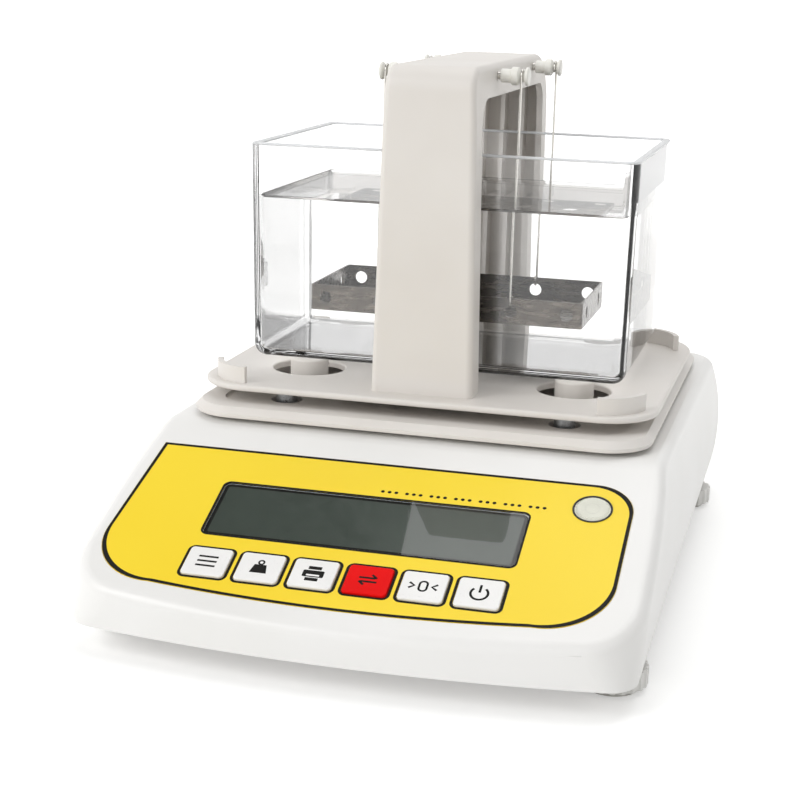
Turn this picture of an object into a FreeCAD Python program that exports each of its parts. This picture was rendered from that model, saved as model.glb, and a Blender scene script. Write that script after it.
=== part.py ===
import FreeCAD, Part
import math
import os

import Sketcher
from FreeCAD import Placement, Rotation, Vector

# Benchtop density meter: a balance housing with a sloping control panel, a weighing tray
# with an arch over a clear water tank, and a basket that hangs in the water from the arch.
# Frame: +Z up, +Y to the back, origin on the bench under the middle of the housing. Millimetres.

doc = FreeCAD.newDocument("density_meter")
sheet = doc.addObject("Spreadsheet::Sheet", "Sizes")

driving_sizes = {
    # housing
    "housing_width": 196.8, "housing_depth": 291.0, "housing_top": 62.5, "housing_bottom": 10.0,
    "base_width": 190.0, "waist_width": 194.8, "roof_width": 187.0, "housing_wall": 2.6,
    "low_waist": 20.0, "bulge_height": 33.0, "high_waist": 47.0,
    "front_corner": 24.0, "base_corner": 11.0, "back_corner": 16.0, "front_bow": 535.0,
    "base_flare": 2.4,
    "fold_y": -53.0, "slope_angle": 23.67, "fold_round": 22.0, "rim_round": 4.5,
    # control panel, measured down the slope from the fold
    "panel_left": 88.5, "panel_left_low": 92.0, "panel_right": 87.0, "panel_top": 15.5,
    "panel_corner": 14.0, "panel_low_corner": 24.0, "panel_low": 88.0, "panel_bow": 3.5,
    "panel_sheet": 0.5, "panel_recess": 0.35,
    "window_x": -2.9, "window_down": 47.9, "window_width": 110.3, "window_height": 27.3,
    "window_corner": 2.0, "window_sheet": 1.2, "glass_width": 104.0, "glass_height": 21.0,
    "key_first": -50.7, "key_pitch": 18.9, "key_down": 76.1, "key_width": 15.3,
    "key_height": 13.45, "key_corner": 1.4, "key_proud": 0.9, "key_gap": 0.3,
    "level_x": 73.0, "level_down": 28.5, "level_radius": 6.5,
    "board_sheet": 1.6, "display_depth": 9.9,
    # tank and what carries it
    "tank_x": -1.0, "tank_y": 38.0, "tank_width": 150.0, "tank_depth": 104.4, "tank_height": 84.0,
    "tank_wall": 3.3, "tank_draft": 0.87, "tank_corner": 5.5, "tank_inner_corner": 2.2, "tank_edge": 5.0,
    "tank_bottom": 79.0, "post_x": 53.0, "post_spread": 43.0, "post_radius": 7.5,
    "plate_width": 175.0, "plate_front": -54.0, "plate_back": 127.0, "plate_bottom": 64.1,
    "plate_sheet": 4.0, "plate_corner": 18.0,
    # weighing side
    "tray_width": 175.6, "tray_front": -44.0, "tray_back": 113.0, "tray_bottom": 72.2,
    "tray_sheet": 2.5, "tray_corner": 21.0, "tray_back_corner": 30.0, "tray_hole": 14.2,
    "lip_height": 6.3, "lip_sheet": 2.2, "lip_radius": 17.3, "lip_x": 66.0, "lip_front": -24.0,
    "lip_back": 78.0,
    "stud_x": 54.0, "stud_spread": 65.0, "stud_middle": 35.0, "stud_radius": 4.0, "stud_hole": 6.0,
    "spider_bottom": 50.0, "spider_sheet": 3.0,
    "cell_length": 96.0, "cell_width": 24.0, "cell_height": 20.0, "cell_bottom": 27.0,
    # arch and basket
    "arch_front": -35.0, "arch_back": 107.0, "arch_top": 195.5, "arch_foot_half": 19.6,
    "arch_neck_half": 17.4, "arch_neck_height": 177.0, "arch_top_half": 16.3, "arch_leg": 11.5,
    "arch_beam": 12.0, "arch_skin": 2.6, "rib_pitch": 8.5, "rib_sheet": 1.8, "rib_setback": 1.5,
    "pin_height": 191.0, "pin_radius": 1.5, "pin_half": 28.0, "wire_x": 26.3, "wire_radius": 0.45,
    "bush_radius": 3.4, "bush_length": 6.6, "groove_radius": 2.0, "running_gap": 0.08,
    "basket_width": 108.0, "basket_depth": 70.0, "basket_bottom": 97.5, "basket_height": 10.0,
    "basket_sheet": 0.8, "basket_hole": 2.5,
    # base fittings
    "foot_x": 86.5, "foot_y": 108.0, "foot_radius": 12.0, "pad_height": 1.6, "wheel_bottom": 1.8,
    "wheel_top": 8.2, "stem_radius": 3.0, "stem_top": 22.0, "foot_boss_top": 24.0,
    "cover_bottom": 11.0, "cover_corner": 17.5, "cover_sheet": 2.5, "cover_gap": 0.3,
    "board_bottom": 17.5, "screw_gap": 0.05,
}
for row, (alias, number) in enumerate(driving_sizes.items(), start=1):
    sheet.set(f"A{row}", alias)
    sheet.set(f"B{row}", str(number))
    sheet.setAlias(f"B{row}", alias)
doc.recompute()


class Size:
    """A length with its formula: the formula goes to the document, the value to the first guess."""

    def __init__(self, formula, value):
        self.formula = formula
        self.value = value

    def join(self, other, sign, value):
        text = other.formula if isinstance(other, Size) else repr(float(other))
        return Size(f"({self.formula} {sign} {text})", value)

    def __add__(self, other):
        return self.join(other, "+", self.value + number_of(other))

    def __sub__(self, other):
        return self.join(other, "-", self.value - number_of(other))

    def __mul__(self, other):
        return self.join(other, "*", self.value * number_of(other))

    def __truediv__(self, other):
        return self.join(other, "/", self.value / number_of(other))

    def __neg__(self):
        return Size(f"(0 - {self.formula})", -self.value)

    __radd__ = __add__
    __rmul__ = __mul__

    def __rsub__(self, other):
        return -self + other


def number_of(length):
    return length.value if isinstance(length, Size) else float(length)


def root(length):
    return Size(f"sqrt({length.formula})", math.sqrt(length.value))


def size(alias):
    return Size(f"Sizes.{alias}", float(sheet.get(alias)))


def bind(item, name, length):
    """Set a property and, where the length has a formula, tie it to the sheet."""
    if isinstance(length, Size):
        item.setExpression(name, length.formula)
    else:
        setattr(item, name, length)


def place(item, x=0.0, y=0.0, z=0.0, turn=None):
    item.Placement = Placement(Vector(number_of(x), number_of(y), number_of(z)), turn or Rotation())
    for axis, length in zip("xyz", (x, y, z)):
        if isinstance(length, Size):
            item.setExpression(f"Placement.Base.{axis}", length.formula)
    return item


pieces = []
panel_turn = Rotation(Vector(1, 0, 0), number_of(size("slope_angle")))


def keep(item, label):
    item.Label = label
    pieces.append(item)
    return item


def on_panel(item):
    """Local x runs along the fold, local y up the slope and local z out of it."""
    return place(item, 0.0, size("fold_y"), size("housing_top"), panel_turn)


# Sketches and features

def new_body(name):
    return doc.addObject("PartDesign::Body", name)


def sketch_in(body, plane="XY", lift=0.0):
    sketch = body.newObject("Sketcher::SketchObject", f"{body.Name}_sketch")
    for feature in body.Origin.OriginFeatures:
        if feature.Role == f"{plane}_Plane":
            sketch.AttachmentSupport = [(feature, "")]
    sketch.MapMode = "FlatFace"
    sketch.AttachmentOffset = Placement(Vector(0, 0, number_of(lift)), Rotation())
    if isinstance(lift, Size):
        sketch.setExpression("AttachmentOffset.Base.z", lift.formula)
    return sketch


def pin_down(sketch, geometry, point, x, y):
    """Hold one point of a sketch at a distance from the sketch's origin."""
    for kind, length in (("DistanceX", x), ("DistanceY", y)):
        index = sketch.addConstraint(Sketcher.Constraint(kind, -1, 1, geometry, point, number_of(length)))
        if isinstance(length, Size):
            sketch.setExpression(f"Constraints[{index}]", length.formula)


def outline(sketch, corners):
    """A closed line through corners; a corner written (x, y, "arc") is passed by an arc."""
    points = [Vector(number_of(corner[0]), number_of(corner[1]), 0) for corner in corners]
    stops = [index for index, corner in enumerate(corners) if len(corner) == 2]
    first = sketch.GeometryCount
    for number, index in enumerate(stops):
        end = points[stops[(number + 1) % len(stops)]]
        between = (index + 1) % len(corners)
        if len(corners[between]) == 3:
            sketch.addGeometry(Part.Arc(points[index], points[between], end))
        else:
            sketch.addGeometry(Part.LineSegment(points[index], end))
    for number, index in enumerate(stops):
        geometry = first + number
        before = first + (number - 1) % len(stops)
        start = points[index]
        near = min((1, 2), key=lambda end: point_at(sketch, geometry, end).distanceToPoint(start))
        far = min((1, 2), key=lambda end: point_at(sketch, before, end).distanceToPoint(start))
        sketch.addConstraint(Sketcher.Constraint("Coincident", before, far, geometry, near))
        pin_down(sketch, geometry, near, corners[index][0], corners[index][1])
        shape = sketch.Geometry[geometry]
        if isinstance(shape, Part.ArcOfCircle):
            sketch.addConstraint(Sketcher.Constraint("Radius", geometry, shape.Radius))
    return sketch


def point_at(sketch, geometry, end):
    return sketch.getPoint(geometry, end)


def rectangle(sketch, x, y, width, height):
    left, right = x - width / 2, x + width / 2
    low, high = y - height / 2, y + height / 2
    return outline(sketch, [(left, low), (right, low), (right, high), (left, high)])


def rounded_rectangle(sketch, x, y, width, height, radius):
    bend = 1 - math.sqrt(0.5)
    left, right = x - width / 2, x + width / 2
    low, high = y - height / 2, y + height / 2
    return outline(sketch, [
        (left + radius, low), (right - radius, low),
        (right - radius * bend, low + radius * bend, "arc"),
        (right, low + radius), (right, high - radius),
        (right - radius * bend, high - radius * bend, "arc"),
        (right - radius, high), (left + radius, high),
        (left + radius * bend, high - radius * bend, "arc"),
        (left, high - radius), (left, low + radius),
        (left + radius * bend, low + radius * bend, "arc")])


def disc(sketch, x, y, radius):
    circle = Part.Circle(Vector(number_of(x), number_of(y), 0), Vector(0, 0, 1), number_of(radius))
    index = sketch.addGeometry(circle)
    pin_down(sketch, index, 3, x, y)
    held = sketch.addConstraint(Sketcher.Constraint("Radius", index, number_of(radius)))
    if isinstance(radius, Size):
        sketch.setExpression(f"Constraints[{held}]", radius.formula)
    return sketch


def discs(sketch, places, radius):
    for x, y in places:
        disc(sketch, x, y, radius)
    return sketch


def pad(body, sketch, length, both_sides=False, draft=0.0):
    feature = body.newObject("PartDesign::Pad", f"{body.Name}_pad")
    feature.Profile = sketch
    bind(feature, "Length", length)
    if both_sides:
        feature.SideType = "Symmetric"
    if number_of(draft):
        bind(feature, "TaperAngle", draft)
    doc.recompute()
    return feature


def pocket(body, sketch, length=None, downwards=True):
    """Cut a sketch: through everything both ways, or to a depth below or above the sketch."""
    before = body.Shape.Volume
    feature = body.newObject("PartDesign::Pocket", f"{body.Name}_pocket")
    feature.Profile = sketch
    if length is None:
        feature.Type = "ThroughAll"
        feature.SideType = "Symmetric"
    else:
        bind(feature, "Length", length)
        feature.Reversed = not downwards
    doc.recompute()
    if body.Shape.Volume > before - 1e-6:
        raise ValueError(f"{feature.Name} cuts nothing")
    return feature


def edges_where(shape, test):
    return [f"Edge{index}" for index, edge in enumerate(shape.Edges, start=1) if test(edge)]


def round_edges(body, radius, test, kind="Fillet"):
    base = body.Tip
    feature = body.newObject(f"PartDesign::{kind}", f"{body.Name}_{kind.lower()}")
    feature.Base = (base, edges_where(base.Shape, test))
    bind(feature, "Radius" if kind == "Fillet" else "Size", radius)
    doc.recompute()
    return feature


def upright(edge):
    box = edge.BoundBox
    return box.XLength < 0.01 and box.YLength < 0.01 and box.ZLength > 0.5


def level_at(height):
    def test(edge):
        box = edge.BoundBox
        return box.ZLength < 0.01 and abs(box.ZMin - number_of(height)) < 0.01
    return test


def boolean(kind, name, base, tool):
    item = doc.addObject(f"Part::{kind}", name)
    item.Base = base
    item.Tool = tool
    doc.recompute()
    return item


def cylinder(name, radius, height, x=0.0, y=0.0, z=0.0, turn=None):
    item = doc.addObject("Part::Cylinder", name)
    bind(item, "Radius", radius)
    bind(item, "Height", height)
    place(item, x, y, z, turn)
    doc.recompute()
    return item


def box(name, width, depth, height, x=0.0, y=0.0, z=0.0):
    """A block centred on x and y that stands on z."""
    item = doc.addObject("Part::Box", name)
    bind(item, "Length", width)
    bind(item, "Width", depth)
    bind(item, "Height", height)
    place(item, x - width / 2, y - depth / 2, z)
    doc.recompute()
    return item


def group(label, solids):
    """Identical loose solids, such as a set of screws, kept as one piece of the assembly."""
    item = doc.addObject("Part::Feature", label)
    item.Shape = Part.makeCompound(solids)
    return keep(item, label)


def screw_shape(radius, length, head_radius, head_height):
    """A pan head screw that points down from its head's seat at the origin."""
    head = Part.makeCylinder(head_radius, head_height)
    head = head.makeFillet(head_height * 0.45, [head.Edges[0]])
    slot = Part.makeBox(head_radius * 1.3, 0.7, head_height * 0.5)
    slot.translate(Vector(-head_radius * 0.65, -0.35, head_height * 0.6))
    shank = Part.makeCylinder(radius, length, Vector(0, 0, 0), Vector(0, 0, -1))
    return head.cut(slot).fuse(shank).removeSplitter()


def placed(shape, x, y, z, turn=None):
    copy = shape.copy()
    copy.Placement = Placement(Vector(x, y, z), turn or Rotation())
    return copy


def four(x, y_low, y_high):
    return [(-x, y_low), (x, y_low), (-x, y_high), (x, y_high)]


upside_down = Rotation(Vector(1, 0, 0), 180)

# Named places that several pieces share
housing_half = size("housing_width") / 2
half_depth = size("housing_depth") / 2
housing_top = size("housing_top")
wall = size("housing_wall")
tank_y = size("tank_y")
post_places = four(size("post_x"), tank_y - size("post_spread"), tank_y + size("post_spread"))
stud_places = four(size("stud_x"), size("stud_middle") - size("stud_spread"),
                   size("stud_middle") + size("stud_spread"))
foot_places = four(size("foot_x"), -size("foot_y"), size("foot_y"))
cover_top = size("cover_bottom") + size("cover_sheet")
cover_screw_places = [(side * x, y) for x, y in ((73.0, -122.0), (82.0, 0.0), (82.0, 130.0))
                      for side in (-1, 1)]
tray_top = size("tray_bottom") + size("tray_sheet")
pin_places = [tank_y - size("basket_depth") / 2 + size("basket_sheet") / 2,
              tank_y + size("basket_depth") / 2 - size("basket_sheet") / 2]


# Housing: a loft through level outlines that swell to the waist, cut by the slope

def plan_outline(sketch, inset, width_half, front_corner, flare=0.0):
    """Rounded plan: a bowed front that runs into its corners, a back that leans in as the sides do."""
    bow = size("front_bow") - inset
    corner = front_corner - inset
    back_corner = size("back_corner") - inset
    back_half = width_half - inset
    half = back_half + flare
    front = inset - half_depth
    back = half_depth - inset - (housing_half - width_half)
    lean = (half - corner) / (bow - corner)
    drop = root(1.0 - lean * lean)
    centre_y = front + bow - (bow - corner) * drop
    meet_x, meet_y = half - corner + corner * lean, centre_y - corner * drop
    turn = (math.asin(lean.value) - math.pi / 2) / 2
    mid_x = half - corner + corner * math.cos(turn)
    mid_y = centre_y + corner * math.sin(turn)
    bend = 1 - math.sqrt(0.5)
    return outline(sketch, [
        (half, centre_y), (back_half, back - back_corner),
        (back_half - back_corner * bend, back - back_corner * bend, "arc"),
        (back_half - back_corner, back), (-back_half + back_corner, back),
        (-back_half + back_corner * bend, back - back_corner * bend, "arc"),
        (-back_half, back - back_corner), (-half, centre_y), (-mid_x, mid_y, "arc"),
        (-meet_x, meet_y), (0.0, front, "arc"), (meet_x, meet_y), (mid_x, mid_y, "arc")])


slope_rise = math.tan(math.radians(number_of(size("slope_angle"))))


def housing_form(name, inset, bottom):
    body = new_body(name)
    top = housing_top - inset
    waist = size("waist_width") / 2
    sections = []
    sharp, round_corner, flare = size("base_corner"), size("front_corner"), size("base_flare")
    for height, half, corner, widening in (
            (bottom, size("base_width") / 2, sharp, flare),
            (size("low_waist"), waist, (sharp + round_corner * 2) / 3, flare / 3),
            (size("bulge_height"), housing_half, round_corner, 0.0),
            (size("high_waist"), waist, round_corner, 0.0),
            (top, size("roof_width") / 2, round_corner, 0.0)):
        section = sketch_in(body, "XY", height)
        sections.append(plan_outline(section, inset, half, corner, widening))
    loft = body.newObject("PartDesign::AdditiveLoft", f"{name}_loft")
    loft.Profile = sections[0]
    loft.Sections = sections[1:]
    doc.recompute()
    fold_y = size("fold_y") + inset * math.tan(math.radians(number_of(size("slope_angle")) / 2))
    past_front = -half_depth - 20.0
    wedge = outline(sketch_in(body, "YZ"), [
        (fold_y, top), (past_front, top + (past_front - fold_y) * slope_rise),
        (past_front, top + 30.0), (fold_y, top + 30.0)])
    pocket(body, wedge)

    def fold_edge(edge):
        limits = edge.BoundBox
        return limits.XLength > 100 and limits.YLength < 0.1 and abs(limits.YMin - fold_y.value) < 0.1

    round_edges(body, size("fold_round") - inset, fold_edge)
    return body


def rim_edge(edge):
    """The edge all round the roof and the slope, where they meet the walls."""
    fold_y = number_of(size("fold_y"))
    middle = edge.valueAt((edge.FirstParameter + edge.LastParameter) / 2)
    surface = housing_top.value - max(0.0, fold_y - middle.y) * slope_rise
    crosses = edge.BoundBox.XLength > 100 and abs(middle.y - fold_y) < 12
    return abs(surface - middle.z) < 0.6 and not crosses


housing_block = housing_form("housing_block", 0.0, size("housing_bottom"))
round_edges(housing_block, size("rim_round"), rim_edge)
housing_hollow = housing_form("housing_hollow", wall, size("housing_bottom") - 1.0)


# Control panel, drawn in the slope's own frame

def panel_outline(sketch, grow=0.0):
    """The printed sheet: square top left corner, round top right one, bowed lower edge."""
    top, low = -size("panel_top") + grow, -size("panel_low") - grow
    right, left = size("panel_right") + grow, -size("panel_left_low") - grow
    corner, low_corner = size("panel_corner"), size("panel_low_corner")
    bend = 1 - math.sqrt(0.5)
    return outline(sketch, [
        (-size("panel_left") - grow, top), (right - corner, top),
        (right - corner * bend, top - corner * bend, "arc"), (right, top - corner),
        (right, low + low_corner), (right - low_corner * bend, low + low_corner * bend * 0.9, "arc"),
        (right - low_corner, low), (0.0, low - size("panel_bow"), "arc"), (left + low_corner, low),
        (left + low_corner * bend, low + low_corner * bend * 0.9, "arc"), (left, low + low_corner)])


window_x, window_y = size("window_x"), -size("window_down")
key_places = [(size("key_first") + size("key_pitch") * number, -size("key_down")) for number in range(6)]
level_x, level_y = size("level_x"), -size("level_down")
sheet_bottom = -size("panel_recess")
sheet_top = size("panel_sheet") - size("panel_recess")
window_bottom = sheet_top - size("window_sheet")
board_top = -size("display_depth")


def key_outline(sketch, place_of_key, grow):
    return rounded_rectangle(sketch, place_of_key[0], place_of_key[1], size("key_width") + grow * 2,
                             size("key_height") + grow * 2, size("key_corner") + grow)


def window_outline(sketch, grow):
    return rounded_rectangle(sketch, window_x, window_y, size("window_width") + grow * 2,
                             size("window_height") + grow * 2, size("window_corner") + grow)


def panel_openings(sketch):
    """The openings for the six keys and the level."""
    for key_place in key_places:
        key_outline(sketch, key_place, size("key_gap"))
    return disc(sketch, level_x, level_y, size("level_radius") + fitting_gap)


fitting_gap = 0.2
cut_height = sheet_bottom + 1.0
cut_depth = 6.0
cutter = new_body("panel_cutter")
pad(cutter, panel_outline(sketch_in(cutter, "XY", sheet_bottom), 0.15), 9.0)
ledge = window_outline(sketch_in(cutter, "XY", cut_height), fitting_gap)
pad(cutter, ledge, cut_height - window_bottom).Reversed = True
glass = rectangle(sketch_in(cutter, "XY", cut_height), window_x, window_y, size("glass_width"),
                  size("glass_height"))
pad(cutter, glass, cut_depth).Reversed = True
pad(cutter, panel_openings(sketch_in(cutter, "XY", cut_height)), cut_depth).Reversed = True
on_panel(cutter)
doc.recompute()

overlay = new_body("overlay_body")
pad(overlay, panel_outline(sketch_in(overlay, "XY", sheet_bottom)), size("panel_sheet"))
pocket(overlay, window_outline(panel_openings(sketch_in(overlay)), fitting_gap))
keep(on_panel(overlay), "panel_overlay")

window = new_body("window_body")
pad(window, window_outline(sketch_in(window, "XY", window_bottom), 0.0), size("window_sheet"))
keep(on_panel(window), "lcd_window")

key_labels = ("key_function", "key_calibrate", "key_print", "key_mode", "key_zero", "key_power")
for key_place, label in zip(key_places, key_labels):
    key = new_body(f"{label}_body")
    flange_top = -wall - 0.05
    cap = key_outline(sketch_in(key, "XY", flange_top), key_place, 0.0)
    pad(key, cap, size("key_proud") - flange_top)
    round_edges(key, 0.5, level_at(size("key_proud")))
    flange = key_outline(sketch_in(key, "XY", flange_top), key_place, 0.75)
    pad(key, flange, 0.9).Reversed = True
    stem = disc(sketch_in(key, "XY", flange_top - 0.5), key_place[0], key_place[1], 2.0)
    pad(key, stem, 2.8).Reversed = True
    doc.recompute()
    keep(on_panel(key), label)

display_y = -56.5
display_screw_places = four(60.5, display_y - 29.5, display_y + 29.5)
display_screw_places = [(window_x + x, y) for x, y in display_screw_places]
display_board = new_body("display_board_body")
board_sketch = sketch_in(display_board, "XY", board_top)
rectangle(board_sketch, window_x, display_y, 128.0, 66.0)
discs(board_sketch, display_screw_places, 1.4)
pad(display_board, board_sketch, size("board_sheet")).Reversed = True
doc.recompute()
keep(on_panel(display_board), "display_board")

lcd = new_body("lcd_body")
pad(lcd, rectangle(sketch_in(lcd, "XY", board_top), window_x, window_y, 112.0, 30.0), 6.5)
round_edges(lcd, 1.0, upright)
pad(lcd, rectangle(sketch_in(lcd, "XY", board_top + 6.5), window_x, window_y, 103.0, 20.0), 1.9)
keep(on_panel(lcd), "lcd_module")


def panel_point(x, y, z):
    return panel_turn.multVec(Vector(number_of(x), number_of(y), number_of(z))) + Vector(
        0, number_of(size("fold_y")), number_of(housing_top))


def on_panel_shape(shape, x, y, z, turn=None):
    point = panel_point(x, y, z)
    return placed(shape, point.x, point.y, point.z, panel_turn.multiply(turn or Rotation()))


switch = Part.makeBox(6.2, 6.2, 3.0, Vector(-3.1, -3.1, 0)).fuse(
    Part.makeCylinder(1.7, 3.5)).removeSplitter()
group("key_switches", [on_panel_shape(switch, x, y, board_top) for x, y in key_places])
small_screw = screw_shape(1.25, 6.0, 2.4, 1.6)
group("display_screws", [on_panel_shape(small_screw, x, y, board_top - size("board_sheet"), upside_down)
                         for x, y in display_screw_places])

level = new_body("level_body")
pad(level, disc(sketch_in(level, "XY", sheet_top), level_x, level_y, size("level_radius")), 7.0)
level.Tip.Reversed = True
pad(level, disc(sketch_in(level, "XY", sheet_top), level_x, level_y, size("level_radius") - 0.8), 0.8)
round_edges(level, 0.6, level_at(sheet_top + 0.8))
keep(on_panel(level), "bubble_level")
ring = new_body("level_ring_body")
ring_sketch = sketch_in(ring, "XY", sheet_top)
disc(ring_sketch, level_x, level_y, size("level_radius") + 0.9)
disc(ring_sketch, level_x, level_y, size("level_radius") - 0.6)
pad(ring, ring_sketch, 0.5)
keep(on_panel(ring), "level_ring")


# Upper housing: shell, bosses, then every opening

def boss(radius, hole, x, y, low, high):
    tube = Part.makeCylinder(radius, high - low, Vector(x, y, low))
    return tube.cut(Part.makeCylinder(hole, high - low - 3.0, Vector(x, y, low)))


jack_x, jack_z = -60.0, 25.5
port_x, port_z = -24.0, 25.9
port_nut = 12.5
boss_low = number_of(cover_top) + 0.1
housing_bosses = [boss(4.0, 1.55, x, y, boss_low, housing_top.value) for x, y in cover_screw_places]
display_boss = boss(3.0, 1.3, 0.0, 0.0, 0.0, number_of(size("display_depth")) - 1.2)
housing_bosses += [on_panel_shape(display_boss, x, y, board_top) for x, y in display_screw_places]
bosses = doc.addObject("Part::Feature", "housing_bosses")
bosses.Shape = Part.makeCompound(housing_bosses)
shell = boolean("Cut", "housing_shell", housing_block, housing_hollow)
trimmed_bosses = boolean("Common", "trimmed_bosses", bosses, housing_block)
bossed_shell = boolean("Fuse", "bossed_shell", shell, trimmed_bosses)
roof_holes = new_body("roof_holes")
roof_sketch = sketch_in(roof_holes, "XY", housing_top - 6.0)
discs(roof_sketch, stud_places, size("stud_hole"))
discs(roof_sketch, post_places, 2.05)
pad(roof_holes, roof_sketch, 10.0)
back_holes = new_body("back_holes")
back_sketch = sketch_in(back_holes, "XZ", -half_depth - 3.0)


def port_outline(sketch, grow):
    """The D shape of a nine pin socket."""
    half, height = 9.2 + grow, 4.7 + grow
    return outline(sketch, [(port_x - half + 0.8, port_z - height), (port_x + half - 0.8, port_z - height),
                            (port_x + half, port_z + height), (port_x - half, port_z + height)])


disc(back_sketch, jack_x, jack_z, 5.2)
port_outline(back_sketch, 0.3)
discs(back_sketch, [(port_x - port_nut, port_z), (port_x + port_nut, port_z)], 2.9)
pad(back_holes, back_sketch, 8.0)
holed_shell = boolean("Cut", "holed_shell", bossed_shell, roof_holes)
backed_shell = boolean("Cut", "backed_shell", holed_shell, back_holes)
upper_housing = boolean("Cut", "upper_housing_cut", backed_shell, cutter)
keep(upper_housing, "upper_housing")


# Bottom cover with its bosses for the levelling feet

cover = new_body("cover_body")
cover_outline = sketch_in(cover, "XY", size("cover_bottom"))
cover_inset = wall + size("cover_gap")
plan_outline(cover_outline, cover_inset, size("base_width") / 2, size("cover_corner"), size("base_flare"))
pad(cover, cover_outline, size("cover_sheet"))
foot_bosses = discs(sketch_in(cover, "XY", cover_top - 1.0), foot_places, 5.4)
pad(cover, foot_bosses, size("foot_boss_top") - cover_top + 1.0)
board_screw_places = four(50.0, -107.0, -43.0)
standoffs = discs(sketch_in(cover, "XY", cover_top - 1.0), board_screw_places, 3.0)
pad(cover, standoffs, size("board_bottom") - cover_top + 1.0)
port_screw_places = [(-68.0, 123.0), (-8.0, 123.0)]
port_standoffs = discs(sketch_in(cover, "XY", cover_top - 1.0), port_screw_places, 3.0)
port_board_bottom = size("board_bottom") + 0.5
pad(cover, port_standoffs, port_board_bottom - cover_top + 1.0)
ribs = sketch_in(cover, "XY", cover_top - 1.0)
for side in (-1, 1):
    rectangle(ribs, 30.0 * side, size("stud_middle") + 10.0, 1.8, 150.0)
pad(cover, ribs, 5.0)
pocket(cover, discs(sketch_in(cover, "XY"), foot_places, size("stem_radius") + size("running_gap")))
pocket(cover, discs(sketch_in(cover, "XY"), cover_screw_places, 1.6))
heads = discs(sketch_in(cover, "XY", size("cover_bottom")), cover_screw_places, 3.2)
pocket(cover, heads, 1.0, downwards=False)
pilots = sketch_in(cover, "XY", port_board_bottom)
discs(pilots, board_screw_places + port_screw_places, 1.3)
pocket(cover, pilots, 5.5)
keep(cover, "bottom_cover")
cover_screw = screw_shape(1.5, 10.0, 3.0, 1.3)
group("cover_screws", [placed(cover_screw, x, y, number_of(size("cover_bottom")) + 1.0, upside_down)
                       for x, y in cover_screw_places])


# Levelling feet: a rubber pad that stands still and a knurled wheel with its threaded stem

def levelling_foot(x, y, corner):
    rubber = new_body(f"foot_pad_{corner}_body")
    pad(rubber, disc(sketch_in(rubber), 0.0, 0.0, size("foot_radius") - 3.0), size("pad_height"))
    round_edges(rubber, 0.5, level_at(size("pad_height")))
    pad(rubber, disc(sketch_in(rubber, "XY", size("pad_height")), 0.0, 0.0, 2.0), 3.0)
    keep(place(rubber, x, y), f"foot_pad_{corner}")
    wheel = new_body(f"foot_wheel_{corner}_body")
    rim = sketch_in(wheel, "XY", size("wheel_bottom"))
    pad(wheel, disc(rim, 0.0, 0.0, size("foot_radius")), size("wheel_top") - size("wheel_bottom"))
    notch = disc(sketch_in(wheel, "XY"), size("foot_radius") + 0.5, 0.0, 1.35)
    notch_cut = pocket(wheel, notch)
    knurl = wheel.newObject("PartDesign::PolarPattern", f"{wheel.Name}_knurl")
    knurl.Originals = [notch_cut]
    knurl.Axis = (notch, ["N_Axis"])
    knurl.Angle = 360
    knurl.Occurrences = 20
    wheel.Tip = knurl
    doc.recompute()
    stem = disc(sketch_in(wheel, "XY", size("wheel_top")), 0.0, 0.0, size("stem_radius"))
    pad(wheel, stem, size("stem_top") - size("wheel_top"))
    socket = disc(sketch_in(wheel, "XY", size("wheel_bottom")), 0.0, 0.0, 2.0 + size("running_gap"))
    pocket(wheel, socket, 3.2, downwards=False)
    keep(place(wheel, x, y), f"foot_wheel_{corner}")


for (x, y), corner in zip(foot_places, ("front_left", "front_right", "back_left", "back_right")):
    levelling_foot(x, y, corner)


# Boards and sockets inside the housing

def circuit_board(name, label, x, y, width, depth, bottom, holes):
    body = new_body(name)
    sketch = sketch_in(body, "XY", bottom)
    rectangle(sketch, x, y, width, depth)
    discs(sketch, holes, 1.6)
    pad(body, sketch, size("board_sheet"))
    return keep(body, label)


circuit_board("main_board_body", "main_board", 0.0, -75.0, 112.0, 74.0, size("board_bottom"),
              board_screw_places)
circuit_board("port_board_body", "connector_board", -38.0, 128.0, 72.0, 24.0, port_board_bottom,
              port_screw_places)
board_face = number_of(size("board_bottom") + size("board_sheet"))
port_face = number_of(port_board_bottom + size("board_sheet"))
board_screw = screw_shape(1.25, 6.0, 2.7, 1.8)
group("board_screws", [placed(board_screw, x, y, board_face) for x, y in board_screw_places]
      + [placed(board_screw, x, y, port_face) for x, y in port_screw_places])
chip_sizes = ((-20.0, -72.0, 14.0, 14.0, 1.6), (-34.0, -52.0, 10.0, 6.0, 1.8), (4.0, -88.0, 8.0, 5.0, 1.5),
              (-5.0, -55.0, 11.0, 4.5, 3.6))
group("board_chips", [Part.makeBox(w, d, h, Vector(x - w / 2, y - d / 2, board_face))
                      for x, y, w, d, h in chip_sizes])
shield = box("shield_block", 34.0, 26.0, 7.0, 30.0, -62.0, board_face)
shield_round = doc.addObject("Part::Fillet", "shield_round")
shield_round.Base = shield
shield_round.Edges = [(int(name[4:]), 1.5, 1.5) for name in edges_where(shield.Shape, upright)]
doc.recompute()
keep(shield_round, "converter_shield")

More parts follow.
